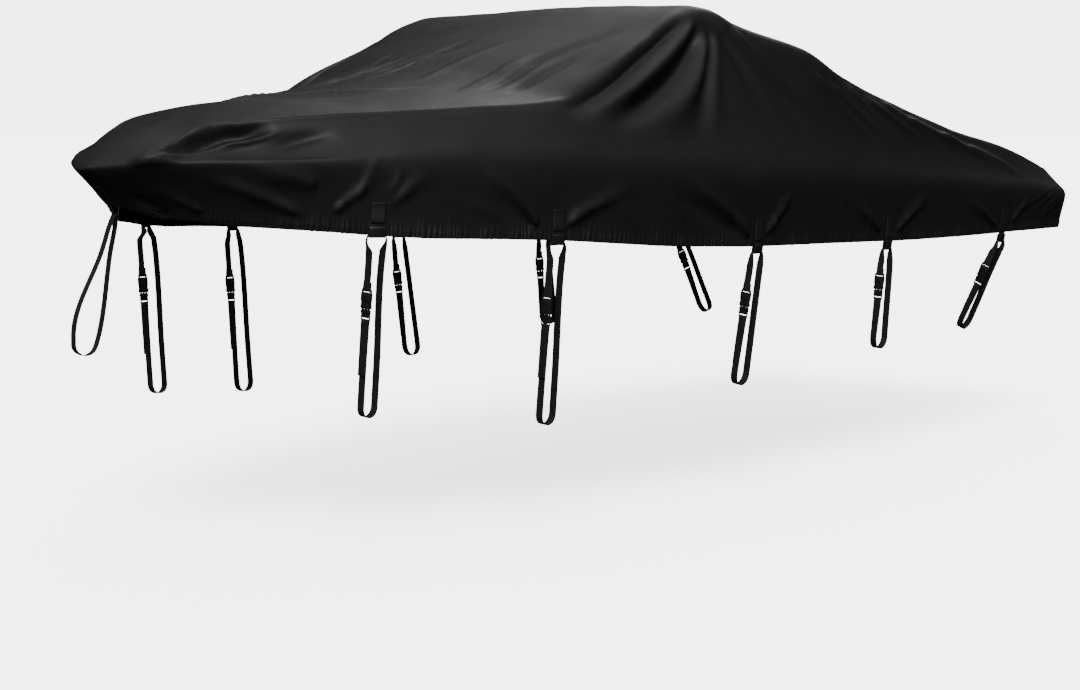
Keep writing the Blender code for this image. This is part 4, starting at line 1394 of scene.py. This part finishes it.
@dataclass(frozen=True)
class Buckle:
    """A side-release buckle: its receiving shell, and the plug whose prongs spring out at its sides."""

    width: float = 0.054
    depth: float = 0.013
    top: float = 0.049
    mouth: float = -0.035
    plug_low: float = -0.087
    plug_depth: float = 0.005
    bar_slot: tuple[float, float] = (0.042, 0.008)
    bar_below: float = 0.011
    rim: float = 0.0007
    plug_rim: float = 0.0006

    def shell(self) -> bpy.types.Mesh:
        """The shell, in the buckle's frame: width along X, thickness along Y, its mouth at the bottom.

        Returns:
            Its mesh.
        """
        height, half = self.top - self.mouth, self.depth / 2
        slot_width, slot_height = self.bar_slot
        body = slab((self.width, self.depth, height), (0, 0, self.top - height / 2), 0.008)
        steps = [
            ("DIFFERENCE", slab((0.045, 0.007, 0.040), (0, 0, -0.019))),
            ("DIFFERENCE", slab((THROUGH, 0.0072, 0.014), (0, 0, -0.011))),
            ("DIFFERENCE", slab((slot_width, THROUGH, slot_height), (0, 0, self.top - self.bar_below))),
        ]
        for side in (-1, 1):
            waist = slab((0.012, THROUGH, 0.020), (side * (self.width / 2 + 0.0035), 0, -0.011), 0.005)
            step = slab((THROUGH, 0.010, 0.030), (0, side * (half + 0.0020), self.top - 0.003))
            steps += [("DIFFERENCE", waist), ("DIFFERENCE", step)]
            for k in range(3):
                rib = slab((self.width - 0.012, 0.0012, 0.0022), (0, side * half, -0.026 + 0.0050 * k))
                steps.append(("UNION", rib))
            pad = slab((self.width - 0.020, 0.0012, 0.018), (0, side * half, 0.011), 0.004)
            steps.append(("UNION", pad))
        for k in range(8):
            tooth = slab((0.0022, THROUGH, 0.0016), (-0.0175 + 0.005 * k, 0, self.top + 0.0002))
            steps.append(("DIFFERENCE", tooth))
        return moulded("buckle_shell", body, steps, self.rim)

    def plug(self) -> bpy.types.Mesh:
        """The plug with its prongs, in the same frame.

        Returns:
            Its mesh.
        """
        low, (slot_width, slot_height) = self.plug_low, self.bar_slot
        prong = [(0.0215, -0.037), (0.0215, -0.017), (0.0262, -0.014), (0.0262, -0.009), (0.0200, -0.005)]
        prong += [(0.0165, -0.006), (0.0150, -0.037)]
        tongue = [(0.005, -0.037), (0.004, -0.008), (-0.004, -0.008), (-0.005, -0.037)]
        base = [(-0.025, -0.040), (-0.025, low + 0.004), (-0.021, low), (0.021, low), (0.025, low + 0.004)]
        outline = base + [(0.025, -0.040)] + prong + tongue + [(-x, z) for x, z in reversed(prong)]
        body = outline_plate(outline, self.plug_depth)
        steps = [("DIFFERENCE", slab((slot_width, THROUGH, slot_height), (0, 0, low + self.bar_below)))]
        for side in (-1, 1):
            steps.append(("UNION", slab((0.050, 0.0040, 0.010), (0, side * 0.0030, -0.046))))
            for k in range(3):
                rib = slab((0.040, 0.0010, 0.0018), (0, side * 0.0027, -0.0550 - 0.0040 * k))
                steps.append(("UNION", rib))
        return moulded("buckle_plug", body, steps, self.plug_rim)


@dataclass(frozen=True)
class Triangle:
    """The flat wire triangle at the bow: its short bar at the origin, and its long one below."""

    top: float = 0.024
    base: float = 0.036
    height: float = 0.036
    bar: float = 0.004
    rim: float = 0.0014

    def mesh(self) -> bpy.types.Mesh:
        """The triangle, thick along Y.

        Returns:
            Its mesh.
        """
        bar, top, base = self.bar, self.top / 2, self.base / 2
        edge = [(top + bar, bar / 2), (-top - bar, bar / 2)]
        edge += [(-base - bar, bar / 2 - self.height), (base + bar, bar / 2 - self.height)]
        hole = [(top, -bar / 2), (-top, -bar / 2)]
        hole += [(-base, 1.5 * bar - self.height), (base, 1.5 * bar - self.height)]
        steps = [("DIFFERENCE", outline_plate(hole, 3 * bar))]
        return moulded("triangle", outline_plate(edge, bar), steps, self.rim)


# ---- webbing ---------------------------------------------------------------------------------------------


@dataclass(frozen=True)
class Webbing:
    """A length of webbing: points along it, the way its width runs at each, and its widths."""

    points: list[Vector]
    across: list[Vector]
    widths: list[float]
    closed: bool = False
    thickness: float = 0.002
    step: float = 0.006

    def mesh(self, name: str, layer: str) -> bpy.types.Mesh:
        """The webbing's middle surface on a smooth line through its points.

        Args:
            name: The mesh's name.
            layer: The UV map's name.

        Returns:
            The mesh, to be thickened.
        """
        points, across, widths = (np.array(x, float) for x in (self.points, self.across, self.widths))
        across /= np.linalg.norm(across, axis=1)[:, None]
        if self.closed:
            points, across, widths = (np.concatenate([x[-2:], x, x[:3]]) for x in (points, across, widths))
        chord = np.concatenate([[0], np.cumsum(np.linalg.norm(np.diff(points, axis=0), axis=1))])
        first, last = (chord[2], chord[-3]) if self.closed else (chord[0], chord[-1])
        knots = [at for at in chord if first <= at <= last]
        counts = [max(2, round((b - a) / self.step)) for a, b in zip(knots, knots[1:])]
        spots = [np.linspace(a, b, n, endpoint=False) for a, b, n in zip(knots, knots[1:], counts)]
        where = np.append(np.concatenate(spots), last)
        line = np.stack([SmoothLine(chord, points[:, axis])(where) for axis in range(3)], 1)
        way = np.stack([np.interp(where, chord, across[:, axis]) for axis in range(3)], 1)
        way /= np.linalg.norm(way, axis=1)[:, None]
        width = np.interp(where, chord, widths)
        shares = np.array([-0.5, -0.42, -0.15, 0.15, 0.42, 0.5])
        form = line[:, None] + way[:, None] * (width[:, None] * shares)[..., None]
        length = np.concatenate([[0], np.cumsum(np.linalg.norm(np.diff(line, axis=0), axis=1))])
        uv = np.stack(np.broadcast_arrays(length[:, None], width[:, None] * shares), 2)
        return woven_grid(name, form, uv, layer, 2e-5)


def thicken(made: bpy.types.Object, thickness: float) -> None:
    """Gives a piece of webbing its thickness.

    Args:
        made: The piece, as a sheet.
        thickness: The webbing's thickness, half of it on each side of the sheet.
    """
    wall = made.modifiers.new("thickness", "SOLIDIFY")
    wall.thickness, wall.offset, wall.use_even_offset = thickness, 0, True


@dataclass(frozen=True)
class Tab:
    """A sewn tab of wide webbing: up behind its link's bar, round it, and up the front to a sewn end."""

    width: float
    gap: float
    turn_at: float
    top: float
    lean: float
    end_height: float = 0.013
    end_depth: float = 0.0052
    end_rim: float = 0.0016

    def line(self) -> list[tuple[float, float]]:
        """The tab's line in its link's frame.

        Returns:
            Its points, as (out, up).
        """
        angles = np.radians([0, 30, 60, 90, 120, 150, 180])
        line = [(-0.0014 - self.lean, self.top), (-0.0016 - 0.75 * self.lean, self.top - 0.03)]
        line += [(-self.gap, self.turn_at + 0.012)]
        line += [(-self.gap * math.cos(angle), self.turn_at - self.gap * math.sin(angle)) for angle in angles]
        line += [(self.gap, self.turn_at + 0.012), (0.0016 - 0.75 * self.lean, self.top - 0.03)]
        return line + [(0.0014 - self.lean, self.top)]

    def build(self, name: str, node: str, frame_matrix: Matrix, kit: StrapKit) -> None:
        """Makes the tab.

        Args:
            name: The piece's name.
            node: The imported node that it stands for.
            frame_matrix: Its link's frame.
            kit: The finishes.
        """
        points = [frame_matrix @ Vector((0, out, up)) for out, up in self.line()]
        side = frame_matrix.to_3x3() @ Vector((1, 0, 0))
        count = len(points)
        band = Webbing(points, [side] * count, [self.width] * count, step=0.008)
        kit.show_webbing(name, node, band)
        top = self.top - self.end_height / 2
        size = (self.width + 0.003, self.end_depth, self.end_height)
        end = slab(size, (0, 0.0006 - self.lean, top))
        mesh = moulded("tab_end", end, [], self.end_rim)
        piece(name + "_end", placed(mesh, frame_matrix), kit.web_finish, WEBBING_SLOT)


@dataclass(frozen=True)
class SideStrap:
    """One side strap: its sewn tab, its link, its webbing and the two halves of its buckle."""

    row: StrapRow
    side: Side
    leg_spread: float = 0.041
    web_width: float = 0.038
    gathered: float = 0.010
    twisted_by: float = 0.055
    tail: float = 0.20
    stand_off: float = 0.0135

    @property
    def label(self) -> str:
        """The strap's name in the names of nodes and pieces."""
        return f"{self.side.label}_{self.row.name}"

    def column(self, taut: np.ndarray) -> int:
        """The rib of the plain cloth that the tab hangs on."""
        hem = taut[:, 0]
        return int(np.argmin(np.abs(hem[:, 0] - self.row.x) + 9 * (hem[:, 1] * self.side.value < 0.3)))

    def line(self, link: Matrix, link_sizes: Link, buckle_sizes: Buckle) -> tuple[Webbing, Matrix]:
        """The webbing: up from the buckle, over the link's ring, round its low end and up through the plug.

        Args:
            link: The link's frame.
            link_sizes: The link.
            buckle_sizes: The buckle.

        Returns:
            The webbing, and the buckle's frame.
        """
        row, outboard = self.row, Vector((0, self.side.value, 0))
        bow = Vector((-1, 0, 0))
        top = link @ Vector((0, 0, link_sizes.ring_low))
        low = Vector((top.x, top.y - outboard.y * row.inboard, row.low_z))
        slope = (low - top) / (top.z - low.z)

        def leg(z: float, forward: float) -> Vector:
            """A point on one leg, at a height, and towards the bow or the stern."""
            share = (top.z - z) / (top.z - low.z)
            spread = self.leg_spread + (row.spread - self.leg_spread) * share
            return top + slope * (top.z - z) + bow * spread * forward

        buckle = frame_at(leg(row.buckle_z, 1), bow, -slope)

        def at(z: float, out: float) -> Vector:
            """A point over the buckle's middle line."""
            return buckle @ Vector((0, out, z))

        forward = 1 if (link.to_3x3() @ Vector((1, 0, 0))).x < 0 else -1
        hoop = [(0.0415, -0.048), (0.0400, -0.027), (0.0350, -0.0185), (0.0200, -0.0165), (0.0, -0.0165)]
        hoop += [(-x, z) for x, z in reversed(hoop[:-1])]
        turn = [(0.0, 0.0055), (-0.0042, 0.0035), (-0.0055, 0.0), (-0.0042, -0.0035), (0.0, -0.0055)]
        end_z, plug = buckle_sizes.top, buckle_sizes.plug_low
        start = [at(end_z + 0.027, -0.0055)] + [at(end_z - 0.0065 + z, out) for z, out in reversed(turn)]
        start += [at(end_z + 0.010, 0.0045), at(end_z + 0.045, 0.0)]
        start += [leg(top.z - self.twisted_by, 1)]
        points = start + [link @ Vector((forward * x, 0, z)) for x, z in hoop]
        through = link.to_3x3() @ Vector((0, self.side.value, 0))
        over = buckle.to_3x3() @ Vector((1, 0, 0))
        across = [over] * len(start) + [through] * len(hoop)
        widths = [self.web_width] * len(start) + [0.028, 0.018] + [self.gathered] * 5 + [0.018, 0.028]

        bend_top = row.low_z + row.spread
        room = row.buckle_z + plug - 0.035 - bend_top
        turned = [leg(top.z - self.twisted_by, -1), leg(bend_top + 0.5 * room, -1), leg(bend_top + 0.03, -1)]
        bend = np.radians(range(0, 181, 30))
        turned += [leg(bend_top - row.spread * math.sin(angle), -math.cos(angle)) for angle in bend]
        turned += [leg(bend_top + 0.03, 1)]
        tail = min(self.tail, room - 0.015)
        finish = [at(plug - 0.025, -0.0045)] + [at(plug + 0.005 - z, out) for z, out in reversed(turn)]
        finish += [at(plug - 0.025, 0.0060), at(plug - 0.025 - tail, 0.0075)]
        points += turned + finish
        across += [over] * (len(turned) + len(finish))
        widths += [self.web_width] * (len(turned) + len(finish))
        return Webbing(points, across, widths), buckle

    def build(self, taut: np.ndarray, kit: StrapKit) -> None:
        """Makes the strap's pieces.

        Args:
            taut: The plain cloth.
            kit: The mouldings and finishes.
        """
        link = hem_frame(taut, self.column(taut), self.row.below_hem + kit.link.ring_low, self.stand_off)
        tab = Tab(0.058, 0.0038, 0.0375, self.row.length + kit.link.ring_low, self.stand_off - 0.009)
        tab.build("sewn_tab_" + self.label, "tab_" + self.label, link, kit)
        kit.show("moulded_link_" + self.label, "link_" + self.label, kit.link_mesh, link)
        webbing, buckle = self.line(link, kit.link, kit.buckle)
        kit.show_webbing("webbing_" + self.label, "strap_" + self.label, webbing)
        kit.show("buckle_shell_" + self.label, "buckle_body_" + self.label, kit.shell_mesh, buckle)
        kit.show("buckle_prongs_" + self.label, "buckle_plug_" + self.label, kit.plug_mesh, buckle)


@dataclass(frozen=True)
class BowStrap:
    """The strap at the bow: a narrow tab, a wire triangle and a sewn loop of webbing with no buckle."""

    low: tuple[float, float, float] = (-2.955, 0.0, -1.420)
    loop_radius: float = 0.060
    tab_width: float = 0.022
    tab_length: float = 0.130
    web_width: float = 0.030
    leg_spread: float = 0.022
    gap: float = 0.0045
    stand_off: float = 0.0135

    def build(self, taut: np.ndarray, kit: StrapKit) -> None:
        """Makes the strap's pieces.

        Args:
            taut: The plain cloth.
            kit: The mouldings and finishes.
        """
        ring_low = kit.link.ring_low
        frame_matrix = hem_frame(taut, 0, ring_low, self.stand_off)
        frame_matrix.translation += frame_matrix.to_3x3() @ Vector((0, 0.003 - self.stand_off / 2, ring_low))
        tab = Tab(self.tab_width, self.gap, 0.0, self.tab_length, 0.0, end_height=0.010)
        tab.build("sewn_tab_bow", "tab_bow", frame_matrix, kit)
        low, origin = Vector(self.low), frame_matrix.translation
        pull = (low - origin).normalized()
        ahead = Vector((0, 1, 0)).cross(pull)
        if ahead.x > 0:
            ahead = -ahead
        kit.show("wire_triangle_bow", "triangle_bow", kit.triangle.mesh(), frame_at(origin, ahead, -pull))
        bar = origin + pull * (kit.triangle.height - kit.triangle.bar)
        turn, wrap = np.radians([0, 45, 90, 135, 180]), np.radians([180, 216, 252, 288, 324, 360])
        points = [bar + ahead * self.gap * math.cos(a) - pull * self.gap * math.sin(a) for a in turn]
        points += [bar + (low - bar) * 0.3 - ahead * self.leg_spread]
        points += [low + (ahead * math.cos(a) - pull * math.sin(a)) * self.loop_radius for a in wrap]
        points += [bar + (low - bar) * 0.3 + ahead * self.leg_spread]
        count = len(points)
        webbing = Webbing(points, [Vector((0, 1, 0))] * count, [self.web_width] * count, closed=True)
        kit.show_webbing("webbing_bow", "strap_bow", webbing)


def hem_frame(taut: np.ndarray, column: int, drop: float, stand_off: float) -> Matrix:
    """The frame of a link on the skirt.

    Args:
        taut: The plain cloth.
        column: The rib that it hangs on.
        drop: How far its origin lies below the hem.
        stand_off: How far it stands off the cloth.

    Returns:
        The frame: Y outwards, Z up the skirt.
    """
    hem, above = Vector(taut[column, 0]), Vector(taut[column, 8])
    up = (above - hem).normalized()
    along = Vector(taut[(column + 3) % len(taut), 0]) - Vector(taut[column - 3, 0])
    outwards = along.cross(up).normalized()
    if outwards.dot(Vector((-1, 0, 0)) if column == 0 else Vector((0, hem.y, 0))) < 0:
        outwards = -outwards
    return frame_at(hem + outwards * stand_off - up * drop, outwards, up)


class StrapKit:
    """The mouldings and finishes that the straps share."""

    def __init__(self, webbing: WovenWebbing, plastic: MouldedPlastic) -> None:
        """Makes each moulding and each material once.

        Args:
            webbing: The webbing's finish.
            plastic: The mouldings' finish.
        """
        self.link, self.buckle, self.triangle = Link(), Buckle(), Triangle()
        self.link_mesh = self.link.mesh()
        self.shell_mesh, self.plug_mesh = self.buckle.shell(), self.buckle.plug()
        self.webbing, self.web_finish = webbing, webbing.material()
        self.plastic_finish = plastic.material()

    def show(self, name: str, node: str, mesh: bpy.types.Mesh, frame_matrix: Matrix) -> None:
        """Shows one moulding in place of its node.

        Args:
            name: The piece's name.
            node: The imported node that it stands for.
            mesh: The moulding.
            frame_matrix: Its frame.
        """
        piece(name, placed(mesh, frame_matrix), self.plastic_finish, PLASTIC_SLOT, node)

    def show_webbing(self, name: str, node: str, webbing: Webbing) -> None:
        """Shows one length of webbing in place of its node.

        Args:
            name: The piece's name.
            node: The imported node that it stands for.
            webbing: The webbing.
        """
        made = piece(name, webbing.mesh(name, self.webbing.uv), self.web_finish, WEBBING_SLOT, node)
        thicken(made, webbing.thickness)


# ---- studio ----------------------------------------------------------------------------------------------


@dataclass(frozen=True)
class SoftSun:
    """A wide, even lamp far off in one direction."""

    name: str
    towards: tuple[float, float, float]
    width: float
    strength: float

    def build(self) -> None:
        """Adds the lamp."""
        lamp = bpy.data.lights.new(self.name, "SUN")
        lamp.angle, lamp.energy = math.radians(self.width), self.strength
        made = bpy.data.objects.new(self.name, lamp)
        bpy.context.scene.collection.objects.link(made)
        made.rotation_euler = Vector(self.towards).to_track_quat("Z", "Y").to_euler()


@dataclass(frozen=True)
class Studio:
    """The pale floor, the soft light and the camera at the photograph's angle."""

    floor: PaleFloor
    floor_z: float = -2.34
    floor_size: float = 400.0
    camera: tuple[float, float, float] = (-8.52, -6.87, -0.56)
    heading: tuple[float, float] = (0.775, 0.632)
    pitch: float = 5.79
    lens: float = 73.0
    wall: float = 5.0
    lamps: tuple[SoftSun, ...] = (
        SoftSun("lamp_key", (-0.55, -0.42, 0.72), 26.0, 9.0),
        SoftSun("lamp_top", (0.0, 0.0, 1.0), 90.0, 3.8),
        SoftSun("lamp_back", (0.77, 0.36, 0.51), 25.0, 0.9),
        SoftSun("lamp_bow", (-0.75, -0.65, 0.15), 50.0, 7.0),
    )

    def build_floor(self) -> None:
        """Lays the floor, which the camera sees and the cloth doesn't mirror."""
        bm = bmesh.new()
        bmesh.ops.create_grid(bm, x_segments=1, y_segments=1, size=self.floor_size / 2)
        bmesh.ops.translate(bm, vec=(0, 0, self.floor_z), verts=bm.verts)
        mesh = to_mesh("studio_floor", bm)
        mesh.materials.append(self.floor.material())
        floor = bpy.data.objects.new("studio_floor", mesh)
        bpy.context.scene.collection.objects.link(floor)
        floor.visible_diffuse = floor.visible_glossy = False

    def build_wall(self) -> None:
        """Makes the white all around, which the camera sees and the cloth doesn't mirror."""
        world = bpy.data.worlds.new("studio")
        bpy.context.scene.world = world
        world.use_nodes = True
        back = world.node_tree.nodes["Background"]
        back.inputs["Color"].default_value = (1.0, 1.0, 1.0, 1.0)
        back.inputs["Strength"].default_value = self.wall
        world.cycles_visibility.diffuse = world.cycles_visibility.glossy = False

    def build(self) -> None:
        """Sets the studio up."""
        self.build_floor()
        self.build_wall()
        for lamp in self.lamps:
            lamp.build()
        camera = bpy.data.cameras.new("camera")
        camera.lens, camera.sensor_width, camera.clip_end = self.lens, 36.0, 500.0
        made = bpy.data.objects.new("camera", camera)
        bpy.context.scene.collection.objects.link(made)
        made.location = self.camera
        pitch = math.radians(self.pitch)
        way = Vector((*(part * math.cos(pitch) for part in self.heading), -math.sin(pitch)))
        made.rotation_euler = way.to_track_quat("-Z", "Y").to_euler()
        bpy.context.scene.camera = made


def main() -> None:
    """Builds the cover, its straps and the studio in turn."""
    logging.basicConfig(level=logging.INFO, format="%(name)s: %(message)s")
    form = CoverForm()
    taut = form.taut()
    Cover(form, WovenCloth(), HemCloth()).build(taut)
    kit = StrapKit(WovenWebbing(), MouldedPlastic())
    BowStrap().build(taut, kit)
    for side in Side:
        for row in STRAPS:
            SideStrap(row, side).build(taut, kit)
    Studio(PaleFloor()).build()


if __name__ == "__main__":
    main()
